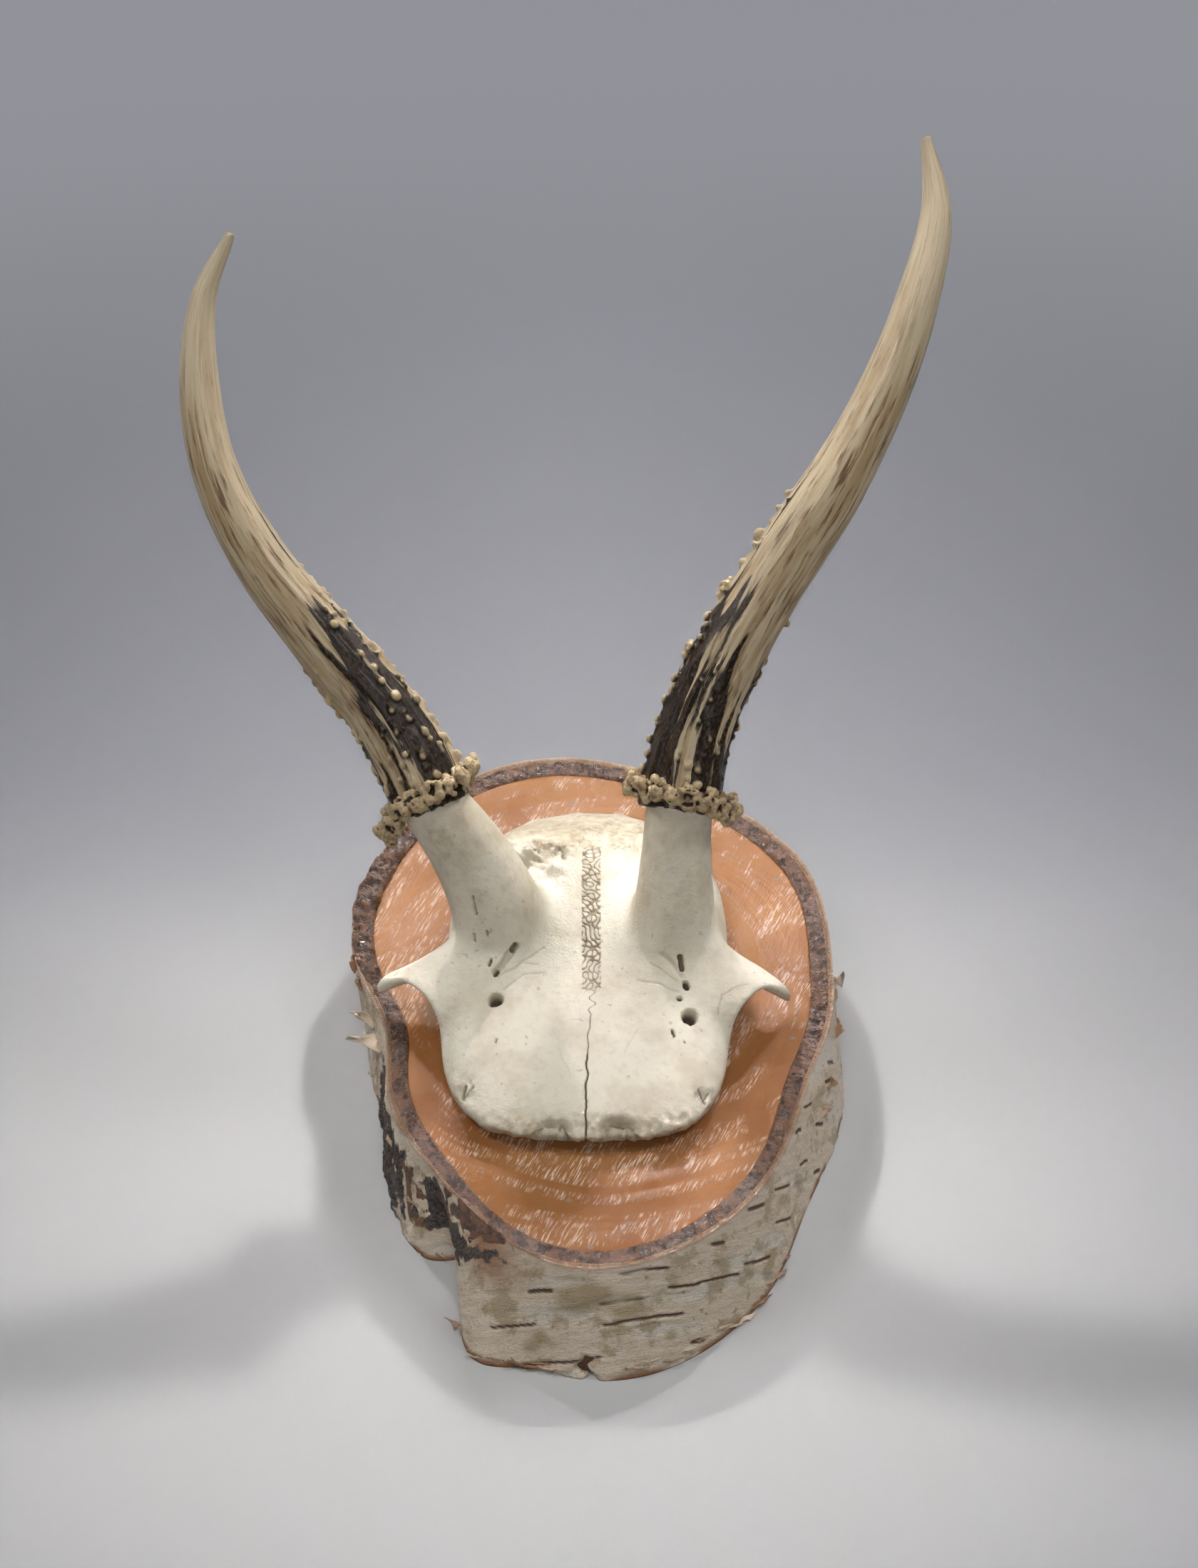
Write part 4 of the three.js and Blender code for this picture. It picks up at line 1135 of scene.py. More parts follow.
def cap_shell():
    """The sawn cap without its pedicles, as a ball bent to the stations of its edge."""
    half, crown_rows, shoulder_rows, under_rows = 170, 60, 36, 40
    columns, rows = 2 * half, crown_rows + shoulder_rows + under_rows
    stations = np.array(STATIONS)
    bearings = np.arctan2(stations[:, 0], CAP_CENTRE_Y - stations[:, 1])
    radii = np.hypot(stations[:, 0], CAP_CENTRE_Y - stations[:, 1])
    order = np.linspace(0, 1, len(stations))

    def station(values, bearing):
        return table_value(np.stack([bearings, values], 1), bearing)

    def shape(around, along):
        row = along * rows
        turned = 2 * around
        mirrored = turned > 1
        bearing = np.interp(np.where(mirrored, 2 - turned, turned), order, bearings)
        reach = station(radii, bearing)
        low, rim, shoulder, wall, roof = (station(stations[:, k], bearing) for k in (2, 3, 4, 5, 6))
        shoulder, wall = shoulder * reach, wall * reach
        turn = np.clip((row - crown_rows) / shoulder_rows, 0, 1) * pi / 2
        radius = shoulder * np.clip(row / crown_rows, 0, 1) + (reach - shoulder) * np.sin(turn)
        top = crown_height(reach * np.sin(bearing), CAP_CENTRE_Y - reach * np.cos(bearing))
        drop = (top - low - rim) * (1 - np.cos(turn))
        height = crown_height(radius * np.sin(bearing), CAP_CENTRE_Y - radius * np.cos(bearing)) - drop
        under = np.clip((row - crown_rows - shoulder_rows) / under_rows, 0, 1) * 6
        foot = CAP_FOOT + 0 * low
        knees = np.array([
            (reach, low + rim), (reach - 0.25, low), ((reach + 2 * wall) / 3, low + (roof - low) * 0.85),
            (wall, roof), (wall - 0.6, foot), (wall * 0.5, foot), (0 * wall, foot),
        ])
        leg = np.clip(under.astype(int), 0, len(knees) - 2)
        part = under - leg
        spots = np.arange(len(row))
        start, end = knees[leg, :, spots].T, knees[leg + 1, :, spots].T
        radius, height = np.where(under > 0, start * (1 - part) + end * part, (radius, height))
        across, back = radius * np.sin(bearing), -radius * np.cos(bearing)
        tip = np.where(mirrored, smooth((across - TIP_STARTS) / TIP_LENGTH), 0)
        across = np.where(mirrored, -across * LEFT_REACH - tip * LEFT_TIP_REACH, across)
        back = back + tip * LEFT_TIP_BACK
        c, s = cos(radians(CAP_TURN)), sin(radians(CAP_TURN))
        x, y = across * c - back * s + MIDLINE_X, across * s + back * c + CAP_CENTRE_Y
        return np.stack([x, y, height], 1)

    return sheet_shell(columns, rows, shape)


def pedicle_shell(antler):
    """A pedicle, cut off where the burr's collar covers it."""
    path = Path(antler["pedicle"], antler["towards_middle"])
    bm = bent_spindle(path, antler["pedicle_radii"], 90, 90)
    matrix = burr_matrix(antler)
    cut = bmesh.ops.bisect_plane(
        bm, geom=bm.verts[:] + bm.edges[:] + bm.faces[:], dist=1e-8,
        plane_co=(matrix @ Vector((0, 1.5, 0))) * MM, plane_no=matrix.to_3x3() @ Vector((0, 1, 0)),
        clear_outer=True,
    )
    edges = [e for e in cut["geom_cut"] if isinstance(e, bmesh.types.BMEdge)]
    bmesh.ops.holes_fill(bm, edges=edges)
    return bm


def segment_gap(points, normals, start, end):
    """Distance of each point from a segment, measured along the surface."""
    start, end = np.array(start, float), np.array(end, float)
    run = end - start
    length = max(run @ run, 1e-9)
    t = np.clip((points - start) @ run / length, 0, 1)
    gap = points - start - t[:, None] * run
    lift = np.sum(gap * normals, 1)
    flat = gap - lift[:, None] * normals
    return lengths(flat) + 4 * np.maximum(np.abs(lift) - 3.5, 0)


def suture_masks(points):
    """Where the wandering suture, the open crack and the rough coronal suture lie."""
    x, y, z = points.T
    on_top = smooth((z - TOP_HEIGHT) / 1.5)
    off = x - table_value(MIDLINE, y)
    along = points * (0, 1, 0)
    jag = 0.34 * lumps(along, 2.3, 6) + 0.16 * lumps(along, 0.7, 7)
    curl = 0.8 * np.sin(y * 2.1) * smooth((y + 12) / 4)
    crack_gap = np.abs(off - jag - curl)
    crack = smooth((SUTURE_FRONT + 1.5 - y) / 1.5) * on_top
    band = smooth((y - SUTURE_FRONT) / 1.5) * smooth((SUTURE_BACK - y) / 1.0) * on_top
    arch = CORONAL_Y + 3.6 * bell(x + 0.8, 3.2) - 0.012 * (x + 2) ** 2 * (x < 0)
    coronal = bell(y - arch, 1.5) * smooth((14 - np.abs(x + 2)) / 3) * on_top
    return off, crack_gap, crack, band, coronal


def eased_creases(points, edges):
    """The points with the creases where the shells meet turned to flowing hollows."""
    crown = crown_height(np.abs(points[:, 0] - MIDLINE_X), points[:, 1])
    near = bell(lengths(points - BOSS_CENTRE) - BOSS_RADIUS, 3)
    for antler in ANTLERS:
        share, _, away = Path(antler["pedicle"], antler["towards_middle"]).unrolled(points)
        radius = table_value(even_table(antler["pedicle_radii"]), share)
        near = np.maximum(near, bell(away - radius, 5))
    near *= bell(points[:, 2] - crown, 6)
    return relaxed(relaxed(points, edges, 6), edges, 60, near, push=-0.2)


def marks_refined(mesh, half_width):
    """The mesh with finer faces wherever something small is carved."""
    runs = [(start, end) for start, end, *_ in OPENINGS]
    runs += [run for row in FURROWS for run in zip(row[0], row[0][1:])]

    def near_marks(points):
        up = np.tile([0.0, 0.0, 1.0], (len(points), 1))
        off, _, _, _, coronal = suture_masks(points)
        wanted = (np.abs(off) < half_width + 0.8) & (points[:, 2] > TOP_HEIGHT) & (points[:, 1] < 37)
        wanted |= coronal > 0.3
        for start, end in runs:
            wanted |= segment_gap(points, up, start, end) < 2.4
        return wanted

    def near_lines(points):
        off, crack_gap, _, band, _ = suture_masks(points)
        wanted = (np.abs(off) < half_width + 0.5) & (band > 0.05)
        in_front = (points[:, 2] > TOP_HEIGHT) & (points[:, 1] < SUTURE_FRONT + 1)
        return wanted | (crack_gap < 1.0) & in_front

    return refined(refined(mesh, "skull_marks", near_marks), "skull_cap_skin", near_lines)


class Carving:
    """How deep each point of the cap is cut, in mm, and how dark and how stained it is painted: real dirt
    and stains, and painted shade.
    """

    def __init__(self, points, normals):
        self.points, self.normals = points, normals
        self.depth, self.dirt_and_shade, self.stain_and_shade = np.zeros((3, len(points)))

    def add_dirt_and_shade(self, amount):
        self.dirt_and_shade = np.maximum(self.dirt_and_shade, amount)

    def tinge(self, amount):
        self.stain_and_shade = np.maximum(self.stain_and_shade, amount)

    def sutures(self, sizes):
        """A band of wandering lines, an open crack in front of it with painted shade inside, a raised
        coronal lip.
        """
        points, (x, y, _) = self.points, self.points.T
        off, crack_gap, crack, band, coronal = suture_masks(points)
        suture_band = band * smooth((sizes.suture_width / MM / 2 - np.abs(off)) / 0.35)
        groove = suture_band * smooth((0.58 - np.abs(worm_lines(x, y * 0.9, 1.75, 5))) / 0.4)
        self.depth += groove * sizes.suture_depth / MM
        self.add_dirt_and_shade(0.22 * groove)
        gape = 0.05 + 0.14 * smooth((lumps(points, 4, 4) + 0.1) / 0.6) * smooth((-10 - y) / 4)
        open_crack = crack * smooth((gape - crack_gap) / 0.2 + 0.5)
        self.depth += open_crack * sizes.crack_depth / MM
        # Painted shade inside the open crack.
        self.add_dirt_and_shade(0.7 * open_crack)
        lines = np.abs(worm_lines(x + 40, y, 2.2, 8))
        self.depth += coronal * (0.8 * smooth((0.5 - lines) / 0.4) - 1.3 - 0.9 * rough(points, 1.6, 3))
        self.add_dirt_and_shade(0.5 * coronal * smooth((0.4 - lines) / 0.3))
        self.tinge(np.maximum(0.28 * suture_band + groove, 1.2 * coronal))

    def openings(self):
        """Holes and clefts with painted shade inside, and the furrows where vessels lay, painted darker."""
        points = self.points
        for start, end, radius, depth, shade in OPENINGS:
            gap = segment_gap(points, self.normals, start, end)
            wavy = gap + 0.18 * radius * lumps(points, radius * 1.4 + 0.2, 15)
            self.depth += depth * smooth((radius - wavy) / (0.45 * radius) + 0.35)
            # Painted shade inside each hole and cleft.
            self.add_dirt_and_shade(shade * smooth((radius * 1.05 - wavy) / (0.4 * radius)))
        sway = np.stack([lumps(points, 3, 26), lumps(points, 3, 27), np.zeros(len(points))], 1)
        bent = points + 0.5 * sway
        for run, radius, depth, shade in FURROWS:
            for start, end in zip(run, run[1:]):
                inside = bell(segment_gap(bent, self.normals, start, end), radius)
                self.depth = np.maximum(self.depth, depth * inside)
                # The furrows painted darker: their own darker tone and painted shade.
                self.add_dirt_and_shade(shade * inside)

    def front_edge(self):
        """Two scallops in the nasal edge with painted shade in them, and the chipped sawn edge round them,
        painted darker in its chips and towards its lower rim.
        """
        points, (x, y, z) = self.points, self.points.T
        for middle_x, middle_y in SCALLOPS:
            away = np.hypot((x - middle_x) / 1.35, y - middle_y)
            scallop = smooth(1.5 * bell(away, 3.4) - 0.3) * (z > 21.3)
            self.depth += scallop * (2.6 + 0.5 * lumps(points, 1.6, 29))
            # Painted shade in the scallop.
            self.add_dirt_and_shade(0.15 * scallop)
        # The nasal edge painted darker towards its lower rim.
        rim = smooth((22.9 - z + 0.5 * lumps(points, 2.4, 46)) / 0.8)
        self.add_dirt_and_shade(0.28 * smooth((-24 - y) / 5) * rim)
        edge = smooth((-30 - y) / 5) * smooth((27 - z) / 4)
        self.depth += edge * (0.75 * rough(points, (3.2, 3.2, 6), 30) + 0.35 * lumps(points, 1.1, 31))
        for centre in CHIPS:
            crater = bell(lengths(points - centre), 2.6)
            self.depth += crater * (0.45 + 0.5 * lumps(points, 1.2, 33))
            # Painted shade in the chip.
            self.add_dirt_and_shade(0.35 * crater * smooth(lumps(points, 1.0, 34)))
        self.tinge(0.75 * edge)

    def porous_patch(self):
        """The rough boss at the left pedicle's inner foot, with painted shade in its pores."""
        points = self.points
        patch = bell(lengths((points - POROUS_PATCH) / POROUS_STRETCH), 7.2)
        patch = smooth(patch * 1.6 - 0.25)
        self.depth -= patch * (1.9 * rough(points, 3.2, 36) + 0.6 * lumps(points, 1.1, 37) + 0.8)
        pores = patch * smooth((lumps(points, 1.1, 38) - 0.5) / 0.2)
        self.depth += 0.9 * pores
        # Painted shade in the pores.
        self.add_dirt_and_shade(0.5 * pores)

    def rays(self):
        """Faint rays over the parietals, painted shade on them, and a slight waviness everywhere."""
        points, (x, y, z) = self.points, self.points.T
        back = smooth((y - 36.5) / 3) * smooth((z - 21) / 3)
        ray = np.abs(((np.degrees(np.arctan2(y - 36.5, x + 0.5)) + 7) % 31) - 15.5)
        self.depth -= back * 0.34 * bell(ray, 4.5)
        self.depth -= 0.2 * rough(points, 9, 40) + 0.045 * rough(points, 1.8, 41)
        # Painted shade: the parietals darkened.
        self.add_dirt_and_shade(0.13 * back)

    def stains(self, points):
        """Yellow-brown stains, painted shade on the parietals and a darker lower edge, given the points as
        carved.
        """
        _, y, z = self.points.T
        for centre, radius, amount in BONE_STAINS:
            self.tinge(amount * bell(lengths(points - centre), radius))
        self.tinge((0.34 + 0.2 * rough(points, 4, 45)) * smooth((z - 37) / 8))
        # The cap painted darker towards its lower edge.
        self.tinge(0.45 * smooth((22.6 - z) / 2))
        # Painted shade: the parietals behind the pedicles stained darker.
        self.tinge(smooth((y - 28) / 6) * smooth((44 - z) / 4))
        return self.stain_and_shade * (0.7 + 0.6 * rough(points, 3, 44)).clip(0, 1.2)


def skull_mesh(sizes):
    """The sawn skull cap and both pedicles as one skin, carved with all its natural marks."""
    whole = bmesh.new()
    add_shell(whole, mesh_of(cap_shell(), "cap"))
    boss_place = Matrix.Translation(BOSS_CENTRE * MM)
    bmesh.ops.create_icosphere(whole, subdivisions=4, radius=BOSS_RADIUS * MM, matrix=boss_place)
    for antler in ANTLERS:
        add_shell(whole, mesh_of(pedicle_shell(antler), "pedicle"))
    mesh = voxel_skin(whole, "skull", sizes.grain)
    move(mesh, eased_creases(places_of(mesh), edges_of(mesh)))
    mesh = marks_refined(mesh, sizes.suture_width / MM / 2)

    points, edges = places_of(mesh), edges_of(mesh)
    normals = normals_of(mesh)
    for _ in range(12):
        normals = neighbour_mean(normals, edges)
    normals /= np.maximum(lengths(normals), 1e-9)[:, None]
    carving = Carving(points, normals)
    carving.sutures(sizes)
    carving.openings()
    carving.front_edge()
    carving.porous_patch()
    carving.rays()
    points = points - normals * carving.depth[:, None]
    points[:, 2] = np.maximum(points[:, 2], THICKNESS + 0.12)
    move(mesh, points)
    paint(mesh, "stain_and_shade", carving.stains(points))
    paint(mesh, "dirt_and_shade", carving.dirt_and_shade)
    paint_hollows(mesh, 5, 0.02)
    return mesh


# ---- the antlers ---------------------------------------------------------------------------
def burr_matrix(antler):
    """The burr's own frame in mm: X to the midline, Y along the spike, Z across."""
    path = Path(antler["spike"], antler["towards_middle"])
    centre, ahead, side, front = (Vector(v[0]) for v in path.frame(0.004))
    tilt = Matrix.Rotation(radians(antler["burr_tilt"]) * antler["towards_middle"], 3, front)
    ahead, side = tilt @ ahead, tilt @ side
    matrix = Matrix((side, ahead, side.cross(ahead))).transposed().to_4x4()
    matrix.translation = centre
    return matrix


def add_bead(bm, centre, radius):
    place = Matrix.Translation(Vector(centre) * MM)
    bmesh.ops.create_icosphere(bm, subdivisions=2, radius=radius * MM, matrix=place)


def bead_ring(bm, centre, facing, up, ring_radius, bead_radius, count, draws):
    """Beads round a hollow that faces one way, like a little cup."""
    first = up - facing * (up @ facing)
    first = first / np.linalg.norm(first)
    second = np.cross(facing, first)
    for k in range(count):
        turn = 2 * pi * (k + draws.uniform(-0.2, 0.2)) / count
        reach = ring_radius * draws.uniform(0.85, 1.15)
        spot = centre + reach * (first * cos(turn) + second * sin(turn))
        spot = spot + facing * draws.uniform(-0.3, 0.3)
        add_bead(bm, spot, bead_radius * draws.uniform(0.75, 1.2))


def spike_shells(antler, path, radius_table, pearl_size):
    """The plain spike with all its pearls, drips and cups stuck on."""
    draws = np.random.default_rng(antler["seed"])
    whole = bmesh.new()
    add_shell(whole, mesh_of(bent_spindle(path, antler["spike_radii"], 96, 260), "spike"))

    def spot(share, bearing):
        centre, ahead, side, front = (v[0] for v in path.frame(max(share, 0.03)))
        out = side * cos(radians(bearing)) + front * sin(radians(bearing))
        return centre + out * float(table_value(radius_table, share)), out, ahead

    def pearl(share, bearing, radius, stretch=1.1, sunk=0.3):
        at, out, ahead = spot(share, bearing)
        radius = radius * pearl_size / MM
        turn = Matrix((ahead, out, np.cross(ahead, out))).transposed().to_4x4()
        turn.translation = (at + out * radius * sunk) * MM
        matrix = turn @ Matrix.Diagonal((stretch, 1.0, 0.95, 1))
        bmesh.ops.create_icosphere(whole, subdivisions=2, radius=radius * MM, matrix=matrix)

    for share, bearing, radius in antler["pearls"]:
        pearl(share, bearing, radius, 1.15, 0.45)
        if radius > 0.85:
            share += draws.normal() * 0.006
            pearl(share, bearing + draws.normal() * 6, radius * 0.6, 1.1, 1.2)
    for start, end, count, middle, scatter, size in antler["pearl_rows"]:
        for k in range(count):
            share = start + (end - start) * (k + draws.uniform(-0.4, 0.4)) / count
            bearing = middle + draws.normal() * scatter
            pearl(share, bearing, size * draws.uniform(0.6, 1.3), draws.uniform(1, 1.6))
    for share, bearing, stretch in antler["drips"]:
        pearl(share, bearing, 0.55, stretch, 0.15)
        pearl(share - 0.45 * stretch * 0.55 / path.length, bearing + 2, 0.7, 1.2, 0.3)
    for share, bearing, radius in antler["cups"]:
        at, out, ahead = spot(share, bearing)
        bead_ring(whole, at + out * radius * 0.7, out, ahead, radius, 0.72, 7, draws)
    return whole


def beam_mesh(antler, sizes):
    """A spike with its ridges, furrows and rows of pearls."""
    path = Path(antler["spike"], antler["towards_middle"])
    radius_table = even_table(antler["spike_radii"])
    whole = spike_shells(antler, path, radius_table, sizes.pearl_size)
    mesh = voxel_skin(whole, "antler_" + antler["side"], sizes.grain)
    points = relaxed(places_of(mesh), edges_of(mesh), 3)
    share, bearing, away = path.unrolled(points)
    turn = np.radians(bearing)
    straight = np.stack([7 * np.cos(turn), 7 * np.sin(turn), share * path.length], 1)

    # Ridges and furrows, strongest low down; one deep furrow faces the other antler.
    low, mid = smooth((0.5 - share) / 0.4), smooth((0.86 - share) / 0.5)
    proud = smooth((away - table_value(radius_table, share) - 0.45) / 0.5) * smooth((0.6 - share) / 0.1)
    ridges = 1 - 2 * np.abs(lumps(straight, (2.3, 2.3, 26), antler["seed"]))
    fine = 1 - 2 * np.abs(lumps(straight, (1.1, 1.1, 13), antler["seed"] + 20))
    height = (0.16 + 0.34 * low) * mid * (ridges - 0.3) + (0.05 + 0.2 * low) * mid * (fine - 0.4)
    height += 0.3 * low * lumps(straight, (1.7, 1.7, 4.0), 51) + 0.08 * rough(straight, 9, 52)
    seam = bearing_bell(bearing, 22, 9) * smooth((0.62 - share) / 0.15) * smooth((share - 0.2) / 0.12)
    height -= 0.7 * seam * sizes.ridge_depth
    move(mesh, points)
    points = points + normals_of(mesh) * (height * (1 - 0.8 * proud) * sizes.ridge_depth)[:, None]
    move(mesh, points)

    dark = 0.75 * seam
    for fade, middle, spread in antler["dark"]:
        reach = fade + 0.13 * lumps(straight, (1.7, 1.7, 60), 53)
        here = smooth((reach - share) / 0.12 + 0.5) * bearing_bell(bearing, middle, spread)
        dark = np.maximum(dark, here)
    patch_at, patch_bearing, patch_length, patch_spread = antler["pale_patch"]
    pale = bell(share - patch_at, patch_length) * bearing_bell(bearing, patch_bearing, patch_spread)
    dark = dark * (1 - 0.8 * pale) - 0.42 * smooth(2.2 * lumps(straight, (1.5, 1.5, 13), 54) - 0.5)
    dark += 0.3 * rough(straight, (3.0, 3.0, 16), 57) * smooth((0.5 - share) / 0.2)
    aged = smooth((0.86 + 0.12 * lumps(straight, (4, 4, 40), 56) - share) / 0.35)
    paint(mesh, "aged", 0.3 + 0.7 * aged)
    paint(mesh, "straight", straight)
    paint(mesh, "proud", proud * (0.9 + 0.3 * lumps(points, 2.5, 55)).clip(0, 1))
    paint(mesh, "dark", dark.clip(0, 1))
    paint_hollows(mesh, 6)
    return mesh


def burr_mesh(antler, sizes):
    """A burr: a collar ringed by lobes of fused beads, some round a hollow."""
    matrix = burr_matrix(antler)
    turned, middle = np.array(matrix.to_3x3()), np.array(matrix.translation)
    up = turned @ np.array([0.0, 1.0, 0.0])
    draws = np.random.default_rng(antler["seed"] + 30)
    whole = bmesh.new()

    def collar(around, along):
        profile = [(0, 0.4), (7.6, 0.2), (BURR_COLLAR, 1.2), (BURR_COLLAR, 3.4), (8.3, 4.7), (0, 4.9)]
        where = np.linspace(0, 1, len(profile))
        radius, height = (np.interp(along, where, values) for values in zip(*profile))
        turn = 2 * pi * around
        return np.stack([radius * np.cos(turn), height, radius * np.sin(turn)], 1) @ turned.T + middle

    def facing_out(angle):
        return turned @ np.array([cos(angle), 0.0, sin(angle)])

    add_shell(whole, mesh_of(sheet_shell(64, 30, collar), "collar"))
    for bearing, reach, lift, radius, is_hollow in antler["lobes"]:
        angle = radians(bearing if antler["towards_middle"] > 0 else -bearing)
        hang = antler["burr_hang"] * bearing_bell(bearing, 180, 40)
        out = facing_out(angle)
        at = middle + out * (BURR_RING + reach + 0.3 * hang) + up * (2.3 + lift - hang)
        facing = out - 0.3 * up + 0.3 * draws.normal(size=3)
        facing /= np.linalg.norm(facing)
        beads, share = (8, 0.9) if is_hollow else (6, 0.62)
        bead_ring(whole, at, facing, up, radius * share, 1.12 * sizes.bead_size, beads, draws)
        if not is_hollow:
            add_bead(whole, at + 0.6 * facing, radius * 0.68 * sizes.bead_size)
        # A stalk joins the lobe to the collar.
        add_bead(whole, at - out * 1.8, 1.9)
        for _ in range(5):
            near = facing_out(angle + draws.uniform(-0.3, 0.3))
            spot = middle + near * (BURR_COLLAR + draws.uniform(-0.6, 0.9))
            spot = spot + up * (draws.uniform(0.2, 5.2) - hang * 0.6)
            add_bead(whole, spot, draws.uniform(0.7, 1.15) * sizes.bead_size)
    mesh = voxel_skin(whole, "burr_" + antler["side"], sizes.burr_grain)
    points = relaxed(places_of(mesh), edges_of(mesh), 2)
    move(mesh, points)
    pits = smooth((lumps(points, 1.5, 61) - 0.35) / 0.25)
    move(mesh, points + normals_of(mesh) * (0.14 * rough(points, 1.3, 60) - 0.55 * pits)[:, None])
    paint_hollows(mesh, 18)
    return mesh


# ---- settings ------------------------------------------------------------------------------
def colour(name, description, default):
    return FloatVectorProperty(
        name=name, description=description, subtype="COLOR", size=3, min=0, max=1, default=default
    )


def length(name, description, default):
    return FloatProperty(name=name, description=description, default=default, min=0, unit="LENGTH")


def power(name, description, default):
    return FloatProperty(name=name, description=description, default=default, min=0, unit="POWER")


def strength(name, description):
    return FloatProperty(name=name, description=description, default=1.0, min=0.5, max=1.5)


class SliceSettings(bpy.types.PropertyGroup):
    saw_relief: length("Saw relief", "Depth of the saw's lines in the varnished face", 0.00022)
    lump_height: length("Lump height", "Height of the lumps of inner bark", 0.0006)
    wood: colour("Wood", "Main colour of the varnished face", (0.385, 0.170, 0.058))
    wood_warm: colour("Warm wood", "Warmer clouds in the face", (0.32, 0.124, 0.037))
    wood_dark: colour("Dark wood", "Growth rings", (0.27, 0.105, 0.043))
    # Painted highlight: the colour of the glints along the saw lines.
    wood_glint: colour("Pale wood", "Dry saw lines", (0.82, 0.60, 0.45))
    fleck: colour("Flecks", "Grey flecks in the varnish", (0.30, 0.26, 0.22))
    inner_bark: colour("Inner bark", "Hollows of the inner bark", (0.060, 0.024, 0.011))
    # Also painted on the lumps' crests as a painted highlight.
    inner_crest: colour("Inner bark crests", "Tops of the lumps", (0.190, 0.082, 0.035))
    paper: colour("Bark paper", "Whitest bark", (0.88, 0.745, 0.59))
    paper_grey: colour("Grey bark", "Greyer bands of bark", (0.73, 0.60, 0.455))
    paper_tan: colour("Tan bark", "Fibres that show through", (0.58, 0.43, 0.28))
    paper_stain: colour("Bark stain", "Yellow-brown stains", (0.40, 0.29, 0.145))
    paper_fresh: colour("Fresh paper", "Paper where the bark has peeled", (0.84, 0.77, 0.67))
    mark: colour("Breathing marks", "Dark short lines across the bark", (0.13, 0.070, 0.038))
    bare: colour("Bare bark", "Orange-brown under-bark", (0.36, 0.17, 0.08))
    # Also painted into the hollows of both barks as painted shade.
    cork: colour("Cork", "Dark rough bark", (0.035, 0.026, 0.022))
    cork_grey: colour("Grey cork", "Weathered rough bark", (0.16, 0.13, 0.11))
    edge: colour("Bark edge", "Golden edge of the layered bark", (0.20, 0.105, 0.05))


class SkullSettings(bpy.types.PropertyGroup):
    grain: length("Grain", "Size of the faces of the bone's skin", 0.00058)
    suture_width: length("Suture width", "Width of the band of the wandering suture", 0.0043)
    suture_depth: length("Suture depth", "Depth of the suture's lines", 0.0005)
    crack_depth: length("Crack depth", "Depth of the open crack between the frontal bones", 0.0011)
    bone: colour("Bone", "Cleanest bone", (0.90, 0.83, 0.675))
    grey_bone: colour("Grey bone", "Mottled bone", (0.69, 0.60, 0.445))
    # Also the colour of the painted shade in the bone's hollows and on the parietals.
    stain_and_shade: colour("Stain", "Yellow-brown stains and hollows", (0.42, 0.30, 0.155))
    # Also the colour of the painted shade in holes, cracks and on the parietals.
    dirt_and_shade: colour("Dirt", "Dirt in cracks and openings", (0.060, 0.042, 0.028))


class AntlerSettings(bpy.types.PropertyGroup):
    grain: length("Grain", "Size of the faces of an antler's skin", 0.00037)
    burr_grain: length("Burr grain", "Size of the faces of a burr's skin", 0.0003)
    pearl_size: length("Pearl size", "Radius of a large pearl", 0.001)
    bead_size: strength("Bead size", "Size of a burr's beads, against the usual")
    ridge_depth: strength("Ridges", "Strength of ridges and furrows, against the usual")
    ivory: colour("Ivory", "Polished upper antler", (0.62, 0.52, 0.355))
    tan: colour("Tan", "Tan streaks", (0.40, 0.285, 0.155))
    # Brown and black are also painted into the hollows of antlers and burrs, partly as painted shade.
    brown: colour("Brown", "Brown furrows", (0.17, 0.096, 0.045))
    black: colour("Black", "Darkest stretches near the burr", (0.016, 0.010, 0.0065))
    pearl: colour("Pearl", "Pearls and beads", (0.60, 0.46, 0.27))


class StageSettings(bpy.types.PropertyGroup):
    # Painted light: the lit floor round the object, and the painted shade of the far floor.
    floor_lit: colour("Near floor", "Floor round the object", (0.505, 0.505, 0.50))
    floor_shaded: colour("Far floor", "Floor in the distance", (0.272, 0.277, 0.304))
    key: power("Key lights", "Power of each light behind", 0.125)
    beam: FloatProperty(
        name="Beam", description="Angle of each key light", default=radians(13), subtype="ANGLE"
    )
    side: power("Side lights", "Power of each soft side light", 10.5)
    fill: power("Fill light", "Power of the light in front", 8.5)
    top: power("Top light", "Power of the light above", 3.0)
    air: FloatProperty(
        name="Air light", description="Strength of the light from all round", default=0.01, min=0
    )


# ---- operators -----------------------------------------------------------------------------
class TROPHY_OT_slice_wood(bpy.types.Operator):
    """Model the varnished wood of the slice"""
    bl_idname = "trophy.slice_wood"
    bl_label = "Slice Wood"

    def execute(self, context):
        material = wood_material(context.scene.trophy_slice)
        finish_piece(wood_mesh(), "varnished_wood", material, "birch_wood", "slice_wood")
        return {"FINISHED"}


class TROPHY_OT_inner_bark(bpy.types.Operator):
    """Model the varnished ring of inner bark"""
    bl_idname = "trophy.inner_bark"
    bl_label = "Inner Bark"

    def execute(self, context):
        looks = context.scene.trophy_slice
        material = inner_bark_material(looks)
        mesh = inner_bark_mesh(looks)
        finish_piece(mesh, "inner_bark_ring", material, "inner_bark", "slice_inner_bark")
        return {"FINISHED"}


class TROPHY_OT_outer_bark(bpy.types.Operator):
    """Model the papery outer bark and its loose flakes"""
    bl_idname = "trophy.outer_bark"
    bl_label = "Outer Bark"

    def execute(self, context):
        looks = context.scene.trophy_slice
        material = outer_bark_material(looks)
        finish_piece(outer_bark_mesh(), "birch_bark", material, "outer_bark", "slice_outer_bark")
        finish_piece(flakes_mesh(), "bark_flakes", flake_material(looks), "outer_bark")
        return {"FINISHED"}


